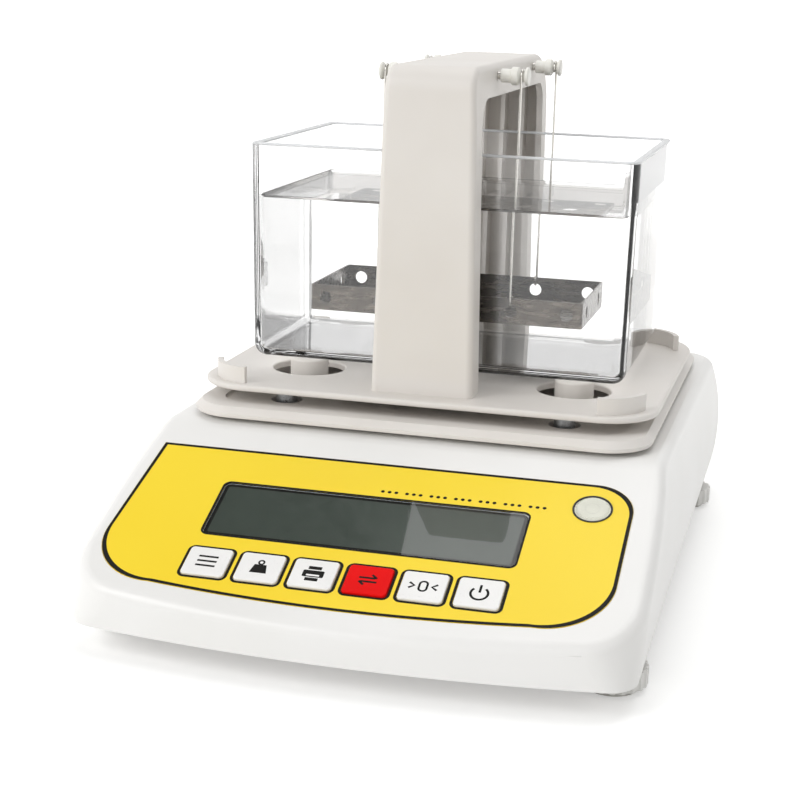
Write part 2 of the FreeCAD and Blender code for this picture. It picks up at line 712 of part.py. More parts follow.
socket_front = number_of(half_depth) - 3.9
along_back = Vector(0, 1, 0)
jack = Part.makeBox(10.0, 13.4, 11.0, Vector(jack_x - 5.0, socket_front - 13.4, port_face))
jack = jack.fuse(Part.makeCylinder(4.9, 4.2, Vector(jack_x, socket_front - 0.6, jack_z), along_back))
jack = jack.cut(Part.makeCylinder(3.1, 9.0, Vector(jack_x, 136.5, jack_z), along_back))
jack = jack.fuse(Part.makeCylinder(1.0, 8.0, Vector(jack_x, 136.0, jack_z), along_back))
group("dc_jack", [jack.removeSplitter()])
port_body = box("port_block", 31.0, 11.2, 12.6, port_x, socket_front - 5.6, port_face)
port_shell = new_body("port_shell")
shell_sketch = port_outline(sketch_in(port_shell, "XZ", -half_depth), 0.0)
pad(port_shell, shell_sketch, 4.4)
port_whole = boolean("Fuse", "port_whole", port_body, port_shell)
keep(port_whole, "serial_port")
nut = Part.Face(Part.makePolygon([Vector(2.5 * math.cos(math.radians(60 * k)), 0, 2.5 * math.sin(
    math.radians(60 * k))) for k in range(7)])).extrude(Vector(0, 3.8, 0))
nut = nut.cut(Part.makeCylinder(1.3, 3.4, Vector(0, 0.6, 0), along_back))
group("port_nuts", [placed(nut, port_x + side * port_nut, socket_front, port_z) for side in (-1, 1)])


# Load cell: a beam with the double hole that makes it bend, bolted down at the back

cell_middle = size("stud_middle")
cell_top = size("cell_bottom") + size("cell_height")
cell_middle_z = size("cell_bottom") + size("cell_height") / 2
cell = new_body("cell_body")
cell_sketch = rectangle(sketch_in(cell, "XY", size("cell_bottom")), 0.0, cell_middle,
                        size("cell_width"), size("cell_length"))
pad(cell, cell_sketch, size("cell_height"))
pocket(cell, discs(sketch_in(cell, "YZ"), [(cell_middle - 12.0, cell_middle_z),
                                           (cell_middle + 12.0, cell_middle_z)], 7.2))
pocket(cell, rectangle(sketch_in(cell, "YZ"), cell_middle, cell_middle_z, 24.0, 5.0))
fixed_screws = [(0.0, cell_middle + 33.0), (0.0, cell_middle + 42.0)]
live_screws = [(0.0, cell_middle - 42.0), (0.0, cell_middle - 33.0)]
pocket(cell, discs(sketch_in(cell, "XY", cell_top), fixed_screws, 4.7), 3.0)
pocket(cell, discs(sketch_in(cell, "XY", cell_top), fixed_screws, 2.55))
pocket(cell, discs(sketch_in(cell, "XY", cell_top), live_screws, 2.5), 12.0)
keep(cell, "load_cell")
cell_foot = new_body("cell_foot_body")
pad(cell_foot, rectangle(sketch_in(cell_foot, "XY", cover_top), 0.0, cell_middle + 37.0,
                         size("cell_width"), 22.0), size("cell_bottom") - cover_top)
round_edges(cell_foot, 2.0, upright)
pocket(cell_foot, discs(sketch_in(cell_foot, "XY", size("cell_bottom")), fixed_screws, 2.5), 12.0)
keep(cell_foot, "load_cell_block")
cell_screw = screw_shape(2.45, 26.0, 4.2, 2.6)
group("load_cell_screws", [placed(cell_screw, 0, number_of(y), cell_top.value - 3.0)
                           for _, y in fixed_screws])
stop_places = [(number_of(x) * 44.0 / number_of(size("stud_x")), number_of(y)) for x, y in stud_places]
stop_low = cover_top.value
stop = Part.makeCylinder(3.5, 33.5).fuse(Part.makeCylinder(
    1.5, number_of(size("spider_bottom")) - stop_low - 0.4)).removeSplitter()
group("overload_stops", [placed(stop, x, y, stop_low) for x, y in stop_places])


# Plate on the roof with the four posts that carry the tank

plate_top = size("plate_bottom") + size("plate_sheet")
plate_depth = size("plate_back") - size("plate_front")
plate_y = (size("plate_back") + size("plate_front")) / 2
plate = new_body("plate_body")
pad(plate, rectangle(sketch_in(plate, "XY", size("plate_bottom")), 0.0, plate_y,
                     size("plate_width"), plate_depth), size("plate_sheet"))
round_edges(plate, size("plate_corner"), upright)
round_edges(plate, 2.4, level_at(plate_top), "Chamfer")
round_edges(plate, 0.8, level_at(size("plate_bottom")))
dish = 0.9
post_low = plate_top - dish
dish_sketch = rounded_rectangle(sketch_in(plate, "XY", plate_top), 0.0, plate_y,
                                size("plate_width") - 20.0, plate_depth - 20.0, 12.0)
pocket(plate, dish_sketch, dish)
seats = discs(sketch_in(plate, "XY", size("plate_bottom") + 1.0), post_places, 9.0)
pad(plate, seats, size("plate_bottom") + 1.0 - housing_top).Reversed = True
doc.recompute()
plate_holes = discs(sketch_in(plate, "XY"), stud_places, size("stud_hole"))
pocket(plate, discs(plate_holes, post_places, 2.05))
keep(plate, "support_plate")
post_radius = number_of(size("post_radius"))
post_height = number_of(size("tank_bottom") - post_low)
post = Part.makeCylinder(post_radius, post_height)
post = post.makeFillet(1.0, [edge for edge in post.Edges if edge.BoundBox.ZMin > post_height - 0.01])
post = post.cut(Part.makeCylinder(2.0, post_height - 3.0))
group("tank_posts", [placed(post, number_of(x), number_of(y), post_low.value) for x, y in post_places])
roof_inside = number_of(housing_top - wall)
post_screw = screw_shape(1.95, 15.0, 3.5, 2.4)
group("post_screws", [placed(post_screw, number_of(x), number_of(y), roof_inside, upside_down)
                      for x, y in post_places])


# Tank: one clear moulding with draft, round corners and an even wall

tank_draft = math.tan(math.radians(number_of(size("tank_draft")))) * 2
tank_rim = size("tank_bottom") + size("tank_height")


def tank_form(name, inset, corner, above):
    """The tank's outside, or with an inset the space inside it, carried on above the rim."""
    body = new_body(name)
    height = size("tank_height") - inset
    floor = size("tank_bottom") + inset
    pad(body, rectangle(sketch_in(body, "XY", floor), size("tank_x"), tank_y,
                        size("tank_width") - height * tank_draft - inset * 2,
                        size("tank_depth") - height * tank_draft - inset * 2),
        height + above, draft=size("tank_draft"))
    round_edges(body, corner, lambda edge: edge.BoundBox.ZLength > 60)
    round_edges(body, size("tank_edge") - inset, level_at(floor))
    return body


tank_block = tank_form("tank_block", 0.0, size("tank_corner"), 0.0)
round_edges(tank_block, 0.9, level_at(tank_rim))
tank_space = tank_form("tank_space", size("tank_wall"), size("tank_inner_corner"), 3.0)
keep(boolean("Cut", "tank_cut", tank_block, tank_space), "tank")


# Weighing side: spider on the load cell, studs through the roof, tray

spider = new_body("spider_body")
arm_half, arm_reach, bar_half = 8.0, size("stud_x") + 8.0, 17.0
front_arm, back_arm = cell_middle - size("stud_spread"), cell_middle + size("stud_spread")
pad(spider, outline(sketch_in(spider, "XY", size("spider_bottom")), [
    (-arm_reach, front_arm - arm_half), (arm_reach, front_arm - arm_half),
    (arm_reach, front_arm + arm_half), (bar_half, front_arm + arm_half),
    (bar_half, back_arm - arm_half), (arm_reach, back_arm - arm_half),
    (arm_reach, back_arm + arm_half), (-arm_reach, back_arm + arm_half),
    (-arm_reach, back_arm - arm_half), (-bar_half, back_arm - arm_half),
    (-bar_half, front_arm + arm_half), (-arm_reach, front_arm + arm_half)]), size("spider_sheet"))
round_edges(spider, 5.0, upright)
live_middle = cell_middle - 37.5
seat = rectangle(sketch_in(spider, "XY", size("spider_bottom") + 1.0), 0.0, live_middle, 24.0, 20.0)
pad(spider, seat, size("spider_bottom") + 1.0 - cell_top).Reversed = True
doc.recompute()
pocket(spider, rounded_rectangle(sketch_in(spider, "XY"), 0.0, cell_middle + 15.0, 18.0, 64.0, 5.0))
pocket(spider, discs(sketch_in(spider, "XY"), live_screws, 2.55))
pocket(spider, discs(sketch_in(spider, "XY"), stud_places, 2.0))
keep(spider, "pan_spider")
spider_top = number_of(size("spider_bottom") + size("spider_sheet"))
spider_screw = screw_shape(2.45, 15.0, 4.2, 2.6)
group("spider_screws", [placed(spider_screw, 0, number_of(y), spider_top) for _, y in live_screws])
tray_bottom = number_of(size("tray_bottom"))
stud = Part.makeCylinder(number_of(size("stud_radius")), tray_bottom - spider_top)
stud = stud.fuse(Part.makeCylinder(1.95, tray_bottom - spider_top + 4.7, Vector(0, 0, -3.0)))
group("pan_studs", [placed(stud.removeSplitter(), number_of(x), number_of(y), spider_top)
                    for x, y in stud_places])

tray_y = (size("tray_front") + size("tray_back")) / 2
tray_depth = size("tray_back") - size("tray_front")
tray = new_body("tray_body")
pad(tray, rectangle(sketch_in(tray, "XY", size("tray_bottom")), 0.0, tray_y, size("tray_width"),
                    tray_depth), size("tray_sheet"))
round_edges(tray, size("tray_corner"), lambda edge: upright(edge) and edge.BoundBox.YMax < 0)
round_edges(tray, size("tray_back_corner"), lambda edge: upright(edge) and edge.BoundBox.YMin > 100)
round_edges(tray, 1.1, lambda edge: edge.BoundBox.ZLength < 0.01 and edge.Length > 1)


def corner_lip(sketch, side, end):
    """A short upright wall that follows the inside of one corner of the tray."""
    centre_x = size("lip_x") * side
    centre_y = size("lip_front") if end < 0 else size("lip_back")
    outer = size("lip_radius")
    inner = outer - size("lip_sheet")
    low, middle, high = (math.radians(angle) for angle in (10.0, 48.0, 86.0))

    def at(radius, angle):
        return (centre_x + radius * (math.cos(angle) * side), centre_y + radius * (math.sin(angle) * end))

    return outline(sketch, [at(outer, low), at(outer, middle) + ("arc",), at(outer, high),
                            at(inner, high), at(inner, middle) + ("arc",), at(inner, low)])


lips = sketch_in(tray, "XY", tray_top - 0.5)
for side in (-1, 1):
    for end in (-1, 1):
        corner_lip(lips, side, end)
pad(tray, lips, size("lip_height") + 0.5)
pocket(tray, discs(sketch_in(tray, "XY"), post_places, size("tray_hole")))
rim_height = tray_top.value


def hole_rim(edge):
    return edge.BoundBox.ZLength < 0.01 and abs(edge.BoundBox.ZMin - rim_height) < 0.01 and abs(
        edge.BoundBox.XLength - size("tray_hole").value * 2) < 0.1


round_edges(tray, 0.7, hole_rim)
pocket(tray, discs(sketch_in(tray, "XY", size("tray_bottom")), stud_places, 2.0), 1.8, downwards=False)
leg = size("arch_leg")
leg_middle = leg / 2 + 0.6
arch_screw_places = [(side * 9.0, y) for y in (size("arch_front") + leg_middle,
                                               size("arch_back") - leg_middle) for side in (-1, 1)]
pocket(tray, discs(sketch_in(tray, "XY"), arch_screw_places, 1.55))
keep(tray, "pan_tray")
arch_screw = screw_shape(1.45, 6.0, 2.8, 1.7)
group("arch_screws", [placed(arch_screw, x, number_of(y), tray_bottom, upside_down)
                      for x, y in arch_screw_places])


# Arch: an outer skin with side flanges, open to the inside and stiffened by three ribs

def arch_form(name, skin, reach, foot, inset):
    """The arch's side view between its skin and its opening, narrowed to its front view."""
    front, back = size("arch_front") + skin, size("arch_back") - skin
    top, under = size("arch_top") - skin, size("arch_top") - size("arch_beam") - reach
    inner_front, inner_back = size("arch_front") + leg + reach, size("arch_back") - leg - reach
    front_round, back_round = 9.0 - skin, 20.0 - skin
    near_round, far_round = 11.0 - reach, 7.0 - reach
    bend = 1 - math.sqrt(0.5)
    body = new_body(name)
    pad(body, outline(sketch_in(body, "YZ"), [
        (front, foot), (front, top - front_round),
        (front + front_round * bend, top - front_round * bend, "arc"), (front + front_round, top),
        (back - back_round, top), (back - back_round * bend, top - back_round * bend, "arc"),
        (back, top - back_round), (back, foot), (inner_back, foot), (inner_back, under - far_round),
        (inner_back - far_round * bend, under - far_round * bend, "arc"),
        (inner_back - far_round, under), (inner_front + near_round, under),
        (inner_front + near_round * bend, under - near_round * bend, "arc"),
        (inner_front, under - near_round), (inner_front, foot)]), 60.0, both_sides=True)
    view = sketch_in(body, "XZ")
    rectangle(view, 0.0, 130.0, 90.0, 180.0)
    foot_half, neck_half = size("arch_foot_half") - inset, size("arch_neck_half") - inset
    top_half = size("arch_top_half") - inset
    tall = size("arch_top") + 8.0
    outline(view, [(-foot_half, size("tray_bottom")), (foot_half, size("tray_bottom")),
                   (neck_half, size("arch_neck_height")), (top_half, tall),
                   (-top_half, tall), (-neck_half, size("arch_neck_height"))])
    pocket(body, view)
    return body


def outer_arch_edge(edge):
    """The long edges between the arch's skin and its two sides."""
    middle = edge.valueAt((edge.FirstParameter + edge.LastParameter) / 2)
    if abs(middle.x) < 10 or middle.z < tray_top.value + 0.5:
        return False
    on_front = abs(middle.y - size("arch_front").value) < 3.0
    on_back = abs(middle.y - size("arch_back").value) < 6.5
    on_top = abs(middle.z - size("arch_top").value) < 6.5
    return (on_front or on_back or on_top) and edge.BoundBox.XLength < 4


arch_skin = size("arch_skin")
arch_block = arch_form("arch_block", 0.0, 0.0, tray_top, 0.0)
round_edges(arch_block, 2.4, outer_arch_edge)
arch_core = arch_form("arch_core", arch_skin, 2.0, tray_top + 4.0, arch_skin)
arch_shell = boolean("Cut", "arch_shell", arch_block, arch_core)
rib_form = arch_form("rib_form", arch_skin / 2, -size("rib_setback"), tray_top + 2.0, 1.0)
rib_blades = doc.addObject("Part::MultiFuse", "rib_blades")
rib_blades.Shapes = [box(f"rib_blade_{number}", size("rib_sheet"), 180.0, 150.0, size("rib_pitch") * side,
                         tank_y, 60.0) for number, side in enumerate((-1, 0, 1))]
doc.recompute()
ribs = boolean("Common", "arch_ribs", rib_form, rib_blades)
ribbed_arch = boolean("Fuse", "ribbed_arch", arch_shell, ribs)
arch_holes = doc.addObject("Part::MultiFuse", "arch_holes")
across = Rotation(Vector(0, 1, 0), 90)
hole_tools = [cylinder(f"pin_hole_{number}", size("pin_radius") + size("screw_gap"), 80.0, -40.0, y,
                       size("pin_height"), across) for number, y in enumerate(pin_places)]
hole_tools += [cylinder(f"arch_screw_hole_{number}", 1.5, 6.5, x, y, tray_top - 1.0)
               for number, (x, y) in enumerate(arch_screw_places)]
arch_holes.Shapes = hole_tools
doc.recompute()
keep(boolean("Cut", "arch_cut", ribbed_arch, arch_holes), "arch")


# Two cross pins with grooved white caps, and the wires that hang on them

for label, y in zip(("front_pin", "rear_pin"), pin_places):
    keep(cylinder(f"{label}_rod", size("pin_radius"), size("pin_half") * 2, -size("pin_half"), y,
                  size("pin_height"), across), label)

pin_height = number_of(size("pin_height"))
wire_x = number_of(size("wire_x"))
wire_radius = number_of(size("wire_radius"))
groove = number_of(size("groove_radius"))
cap_radius = number_of(size("bush_radius"))
bore = number_of(size("pin_radius") + size("screw_gap"))
blind_end = number_of(size("pin_half")) - wire_x + 0.1
cap_end = 2.6
cap_start = cap_end - number_of(size("bush_length"))
chamfer = 0.5
cap_profile = [(cap_start, bore), (cap_start, cap_radius - chamfer), (cap_start + chamfer, cap_radius),
               (-1.5, cap_radius), (-0.65, groove), (0.65, groove), (1.5, cap_radius),
               (cap_end - chamfer, cap_radius), (cap_end, cap_radius - chamfer), (cap_end, 0.0),
               (blind_end, 0.0), (blind_end, bore)]
cap_face = Part.Face(Part.makePolygon([Vector(x, 0, r) for x, r in cap_profile + cap_profile[:1]]))
cap = cap_face.revolve(Vector(), Vector(1, 0, 0), 360)
about = Rotation(Vector(0, 0, 1), 180)
group("pin_caps", [placed(cap, wire_x * side, number_of(y), pin_height, None if side > 0 else about)
                   for y in pin_places for side in (-1, 1)])

loop_radius = groove + number_of(size("running_gap")) + wire_radius
hole_height = number_of(size("basket_bottom") + size("basket_height") / 2)
hole_top = hole_height + number_of(size("basket_hole"))
hook_height = hole_top - 0.1 - wire_radius + loop_radius


def hanger_wire(x, y, side):
    """One wire: an open eye over the pin's groove, a straight drop and a hook for the basket."""
    def on_circle(height, angle):
        turned = math.radians(angle)
        return Vector(x, y - side * loop_radius * math.cos(turned), height + loop_radius * math.sin(turned))

    eye_turn, hook_turn = 215.0, 205.0
    start, drop_top = on_circle(pin_height, eye_turn), on_circle(pin_height, 0.0)
    drop_end, tip = on_circle(hook_height, 0.0), on_circle(hook_height, -hook_turn)
    eye = Part.Arc(start, on_circle(pin_height, eye_turn / 2), drop_top)
    hook = Part.Arc(drop_end, on_circle(hook_height, -hook_turn / 2), tip)
    drop = Part.LineSegment(drop_top, drop_end)
    path = Part.Wire([eye.toShape(), drop.toShape(), hook.toShape()])
    section = Part.Wire(Part.makeCircle(wire_radius, start, eye.tangent(eye.parameter(start))[0]))
    wire = path.makePipeShell([section], True, False)
    length = math.radians(eye_turn + hook_turn) * loop_radius + pin_height - hook_height
    expected = math.pi * wire_radius ** 2 * length
    if abs(wire.Volume - expected) > expected * 0.02:
        raise ValueError("hanger wire has the wrong volume")
    return wire


for label, y, side in zip(("front_wires", "rear_wires"), pin_places, (1, -1)):
    group(label, [hanger_wire(wire_x * hand, number_of(y), side) for hand in (-1, 1)])

basket = new_body("basket_body")
sheet_gauge = size("basket_sheet")
basket_middle = size("basket_bottom") + size("basket_height") / 2
pad(basket, rectangle(sketch_in(basket, "XY", size("basket_bottom")), 0.0, tank_y, size("basket_width"),
                      size("basket_depth")), size("basket_height"))
round_edges(basket, 1.6, upright)
basket_rim = size("basket_bottom") + size("basket_height")
pocket(basket, rounded_rectangle(sketch_in(basket, "XY", basket_rim), 0.0, tank_y,
                                 size("basket_width") - sheet_gauge * 2,
                                 size("basket_depth") - sheet_gauge * 2, 0.9),
       size("basket_height") - sheet_gauge)
long_holes = [(x, basket_middle) for x in (-48.0, -size("wire_x"), size("wire_x"), 48.0)]
long_sketch = sketch_in(basket, "XZ", -tank_y)
pocket(basket, discs(long_sketch, long_holes, size("basket_hole")))
short_sketch = sketch_in(basket, "YZ")
pocket(basket, discs(short_sketch, [(tank_y - 20.0, basket_middle), (tank_y + 20.0, basket_middle)],
                     size("basket_hole")))
drain_places = [(column * 19.0, tank_y + line * 19.0) for column in range(-2, 3) for line in (-1, 0, 1)]
pocket(basket, discs(sketch_in(basket, "XY"), drain_places, 3.0))
keep(basket, "basket")


# Every piece is checked, then written to a file of its own

doc.recompute()
for item in doc.Objects:
    if "Invalid" in item.State or "Error" in item.State:
        raise ValueError(f"{item.Name} failed: {item.State}")
for item in pieces:
    if item.Shape.isNull() or not item.Shape.isValid():
        raise ValueError(f"{item.Label} has no valid shape")
os.makedirs("parts", exist_ok=True)
for item in pieces:
    item.Shape.exportStep(f"parts/{item.Label}.step")
    limits = item.Shape.BoundBox
    print(f"{item.Label:24s} solids {len(item.Shape.Solids)} volume {item.Shape.Volume:10.1f} "
          f"x {limits.XMin:7.2f} {limits.XMax:7.2f} y {limits.YMin:7.2f} {limits.YMax:7.2f} "
          f"z {limits.ZMin:7.2f} {limits.ZMax:7.2f}")
print(len(pieces), "pieces")
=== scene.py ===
import math

import bpy
from mathutils import Matrix, Vector


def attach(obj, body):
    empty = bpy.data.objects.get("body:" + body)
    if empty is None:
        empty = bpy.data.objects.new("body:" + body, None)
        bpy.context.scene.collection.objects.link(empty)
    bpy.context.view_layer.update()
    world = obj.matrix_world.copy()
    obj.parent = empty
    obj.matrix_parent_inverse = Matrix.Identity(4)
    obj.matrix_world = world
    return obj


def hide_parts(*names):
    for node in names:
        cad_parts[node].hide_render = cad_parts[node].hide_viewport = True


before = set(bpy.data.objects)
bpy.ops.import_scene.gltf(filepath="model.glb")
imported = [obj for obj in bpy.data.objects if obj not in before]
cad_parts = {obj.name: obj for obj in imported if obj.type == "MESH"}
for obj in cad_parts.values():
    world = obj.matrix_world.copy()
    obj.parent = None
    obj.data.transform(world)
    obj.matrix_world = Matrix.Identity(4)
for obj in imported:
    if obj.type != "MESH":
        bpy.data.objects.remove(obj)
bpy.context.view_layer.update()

# Benchtop density meter. Lengths are written in millimetres and turned to metres by mm.
mm = 0.001


def linearOf(hexText):
    # sRGB hex to the linear numbers that shaders take
    channels = []
    for start in (0, 2, 4):
        value = int(hexText[start:start + 2], 16) / 255
        channels.append(value / 12.92 if value <= 0.04045 else ((value + 0.055) / 1.055) ** 2.4)
    return (channels[0], channels[1], channels[2], 1.0)


def perMm(length):
    # texture scale for a pattern that repeats about every length millimetres
    return 1 / (length * mm)


def addNode(tree, kind, settings=None, links=None):
    node = tree.nodes.new(kind)
    for name, value in (settings or {}).items():
        if isinstance(name, int) or name in node.inputs:
            node.inputs[name].default_value = value
        else:
            setattr(node, name, value)
    for name, source in (links or {}).items():
        tree.links.new(source, node.inputs[name])
    return node


def startMaterial(name, settings):
    material = bpy.data.materials.new(name)
    material.use_nodes = True
    tree = material.node_tree
    tree.nodes.clear()
    shader = addNode(tree, "ShaderNodeBsdfPrincipled", settings)
    output = addNode(tree, "ShaderNodeOutputMaterial")
    tree.links.new(shader.outputs["BSDF"], output.inputs["Surface"])
    place = addNode(tree, "ShaderNodeTexCoord").outputs["Object"]
    return material, tree, shader, output, place


def seenNotLit(tree):
    # 1 where the eye, a reflection or a bent ray looks straight at a surface, 0 where it lights others
    path = addNode(tree, "ShaderNodeLightPath")
    mirrored = addNode(tree, "ShaderNodeMath", {"operation": "MAXIMUM"}, {
        0: path.outputs["Is Camera Ray"], 1: path.outputs["Is Glossy Ray"]})
    seen = addNode(tree, "ShaderNodeMath", {"operation": "MAXIMUM"}, {
        0: mirrored.outputs["Value"], 1: path.outputs["Is Transmission Ray"]})
    return seen.outputs["Value"]


# Materials

def mouldedPlastic(name, look):
    # injection moulded plastic: one colour all through, a fine tool grain, slight sheen changes
    material, tree, shader, _, place = startMaterial(name, {
        "Roughness": look["roughness"], "IOR": look["ior"], "Specular IOR Level": 0.5})
    cloud = addNode(tree, "ShaderNodeTexNoise", {"Scale": perMm(look["cloudMm"]), "Detail": 2.0},
                    {"Vector": place})
    tint = addNode(tree, "ShaderNodeValToRGB", None, {"Fac": cloud.outputs["Fac"]})
    tint.color_ramp.elements[0].position = 0.3
    tint.color_ramp.elements[0].color = linearOf(look["deepHex"])
    tint.color_ramp.elements[1].position = 0.7
    tint.color_ramp.elements[1].color = linearOf(look["hex"])
    tree.links.new(tint.outputs["Color"], shader.inputs["Base Color"])
    grain = addNode(tree, "ShaderNodeTexNoise", {
        "Scale": perMm(look["grainMm"]), "Detail": 3.0, "Roughness": 0.6}, {"Vector": place})
    bump = addNode(tree, "ShaderNodeBump", {
        "Strength": look["grainStrength"], "Distance": look["grainDepth"] * mm},
        {"Height": grain.outputs["Fac"]})
    tree.links.new(bump.outputs["Normal"], shader.inputs["Normal"])
    gloss = addNode(tree, "ShaderNodeMapRange", {
        "From Min": 0.3, "From Max": 0.7, "To Min": look["roughness"] - 0.04,
        "To Max": look["roughness"] + 0.06}, {"Value": grain.outputs["Fac"]})
    tree.links.new(gloss.outputs["Result"], shader.inputs["Roughness"])
    return material


def metal(name, look):
    # metal whose surface keeps the marks of its making along one axis; the colour follows the same pattern,
    # which on the basket paints dark and bright reflections
    material, tree, shader, _, place = startMaterial(name, {
        "Metallic": 1.0, "Roughness": look["roughness"]})
    stretch = addNode(tree, "ShaderNodeMapping", {"Scale": look["stretch"]}, {"Vector": place})
    marksAndPaintedReflections = addNode(tree, "ShaderNodeTexNoise", {
        "Scale": perMm(look["patternMm"]), "Detail": 4.0, "Roughness": 0.65},
        {"Vector": stretch.outputs["Vector"]})
    # colour set by the pattern: the metal's own tone on wires, screws and aluminium, painted reflections on
    # the basket
    tint = addNode(tree, "ShaderNodeValToRGB", None, {"Fac": marksAndPaintedReflections.outputs["Fac"]})
    tint.color_ramp.elements[0].position = 0.3
    tint.color_ramp.elements[0].color = linearOf(look["deepHex"])
    tint.color_ramp.elements[1].position = 0.7
    tint.color_ramp.elements[1].color = linearOf(look["hex"])
    tree.links.new(tint.outputs["Color"], shader.inputs["Base Color"])
    gloss = addNode(tree, "ShaderNodeMapRange", {
        "From Min": 0.3, "From Max": 0.7, "To Min": look["roughness"] - 0.07,
        "To Max": look["roughness"] + 0.1}, {"Value": marksAndPaintedReflections.outputs["Fac"]})
    tree.links.new(gloss.outputs["Result"], shader.inputs["Roughness"])
    bump = addNode(tree, "ShaderNodeBump", {"Strength": 0.25, "Distance": look["markDepth"] * mm},
                   {"Height": marksAndPaintedReflections.outputs["Fac"]})
    tree.links.new(bump.outputs["Normal"], shader.inputs["Normal"])
    return material


def clearMaterial(name, look):
    # something seen through: bends what is behind it, and lets the lamps' light pass
    material, tree, shader, output, place = startMaterial(name, {
        "Base Color": linearOf(look["hex"]), "Roughness": look["roughness"], "IOR": look["ior"],
        "Transmission Weight": look["clearness"]})
    if "rippleMm" in look:
        ripple = addNode(tree, "ShaderNodeTexNoise", {"Scale": perMm(look["rippleMm"]), "Detail": 1.0},
                         {"Vector": place})
        bump = addNode(tree, "ShaderNodeBump", {"Strength": 0.3, "Distance": look["rippleDepth"] * mm},
                       {"Height": ripple.outputs["Fac"]})
        tree.links.new(bump.outputs["Normal"], shader.inputs["Normal"])
    path = addNode(tree, "ShaderNodeLightPath")
    through = addNode(tree, "ShaderNodeBsdfTransparent", {"Color": linearOf(look["shadowHex"])})
    mix = addNode(tree, "ShaderNodeMixShader", None, {
        0: path.outputs["Is Shadow Ray"], 1: shader.outputs["BSDF"], 2: through.outputs["BSDF"]})
    tree.links.new(mix.outputs["Shader"], output.inputs["Surface"])
    return material


# Housing: ABS from a polished tool, white with a soft shine, near flawless
housingAbs = mouldedPlastic("white moulded abs", {
    "hex": "F0EFED", "deepHex": "EBEAE7", "roughness": 0.33, "ior": 1.53, "cloudMm": 60,
    "grainMm": 1.1, "grainStrength": 0.12, "grainDepth": 0.05})
# Tray, plate and arch: ABS from an eroded tool, warm grey and duller, with a grain that shows
greyAbs = mouldedPlastic("warm grey moulded abs", {
    "hex": "E1DDD8", "deepHex": "DBD6D0", "roughness": 0.46, "ior": 1.53, "cloudMm": 45,
    "grainMm": 0.9, "grainStrength": 0.22, "grainDepth": 0.07})
# Panel sheet: polycarbonate printed on its back, so the yellow lies under a velvet face that
# mirrors less than polished polycarbonate does
printedSheet = mouldedPlastic("printed polycarbonate sheet", {
    "hex": "FADB2E", "deepHex": "F8D727", "roughness": 0.38, "ior": 1.45, "cloudMm": 80,
    "grainMm": 0.7, "grainStrength": 0.1, "grainDepth": 0.03})
# Printing ink: flat black, hardly any shine
blackInk = mouldedPlastic("black printing ink", {
    "hex": "0D0C08", "deepHex": "080704", "roughness": 0.5, "ior": 1.3, "cloudMm": 20,
    "grainMm": 0.6, "grainStrength": 0.08, "grainDepth": 0.02})
# Keys: moulded silicone lacquered white or red, smooth with a soft highlight on the edges.
# The red is matt, so the surround doesn't pale it, and its IOR is below that of real lacquer.
whiteKey = mouldedPlastic("white lacquered key", {
    "hex": "F4F3F1", "deepHex": "EFEEEC", "roughness": 0.3, "ior": 1.5, "cloudMm": 15,
    "grainMm": 0.8, "grainStrength": 0.08, "grainDepth": 0.03})
redKey = mouldedPlastic("red lacquered key", {
    "hex": "EC0709", "deepHex": "E40506", "roughness": 0.5, "ior": 1.22, "cloudMm": 15,
    "grainMm": 0.8, "grainStrength": 0.08, "grainDepth": 0.03})
# Display: rear polariser of an unlit liquid crystal cell, a dull grey green
displayGlass = mouldedPlastic("unlit liquid crystal cell", {
    "hex": "4A524B", "deepHex": "454C46", "roughness": 0.14, "ior": 1.5, "cloudMm": 40,
    "grainMm": 6.0, "grainStrength": 0.0, "grainDepth": 0.01})
# Black ABS of sockets, switches and the level's ring
blackPlastic = mouldedPlastic("black moulded abs", {
    "hex": "1D1D1E", "deepHex": "161617", "roughness": 0.4, "ior": 1.53, "cloudMm": 12,
    "grainMm": 0.6, "grainStrength": 0.2, "grainDepth": 0.05})
# Nylon caps: milky white, waxy
whiteNylon = mouldedPlastic("turned white nylon", {
    "hex": "EFEEE8", "deepHex": "E6E4DC", "roughness": 0.38, "ior": 1.53, "cloudMm": 6,
    "grainMm": 0.5, "grainStrength": 0.15, "grainDepth": 0.03})
# Foot wheels: the housing's plastic, a little duller where hands turn it
wheelAbs = mouldedPlastic("white knurled abs", {
    "hex": "E9E8E5", "deepHex": "DFDEDA", "roughness": 0.4, "ior": 1.53, "cloudMm": 8,
    "grainMm": 0.7, "grainStrength": 0.2, "grainDepth": 0.05})
# Foot pads: pale thermoplastic rubber, dull beside the wheels, a little dusty
padRubber = mouldedPlastic("pale thermoplastic rubber", {
    "hex": "D3D1CC", "deepHex": "C2C0BA", "roughness": 0.72, "ior": 1.5, "cloudMm": 5,
    "grainMm": 0.8, "grainStrength": 0.4, "grainDepth": 0.1})
# Solder mask over glass fibre: green, glossy, with the weave faintly raised
boardMask = mouldedPlastic("green solder mask", {
    "hex": "1F6B3A", "deepHex": "195A30", "roughness": 0.3, "ior": 1.55, "cloudMm": 9,
    "grainMm": 0.8, "grainStrength": 0.2, "grainDepth": 0.03})
# Level: pale enamelled floor under the clear capsule, and the grey ink of its target ring
levelFloor = mouldedPlastic("pale enamelled level floor", {
    "hex": "D4D3CA", "deepHex": "CAC9C0", "roughness": 0.35, "ior": 1.5, "cloudMm": 6,
    "grainMm": 0.6, "grainStrength": 0.05, "grainDepth": 0.02})
greyInk = mouldedPlastic("grey enamel line", {
    "hex": "BDBCB6", "deepHex": "B4B3AD", "roughness": 0.4, "ior": 1.5, "cloudMm": 6,
    "grainMm": 0.6, "grainStrength": 0.05, "grainDepth": 0.02})

# Basket: rolled stainless sheet, half polished, its colour kept darker than bare steel with dark and bright
# patches that are painted reflections of the surround
sheetSteel = metal("half polished stainless sheet", {
    "hex": "7A736B", "deepHex": "3A3530", "roughness": 0.24, "stretch": (0.25, 0.6, 1.0),
    "patternMm": 2.2, "markDepth": 0.02})
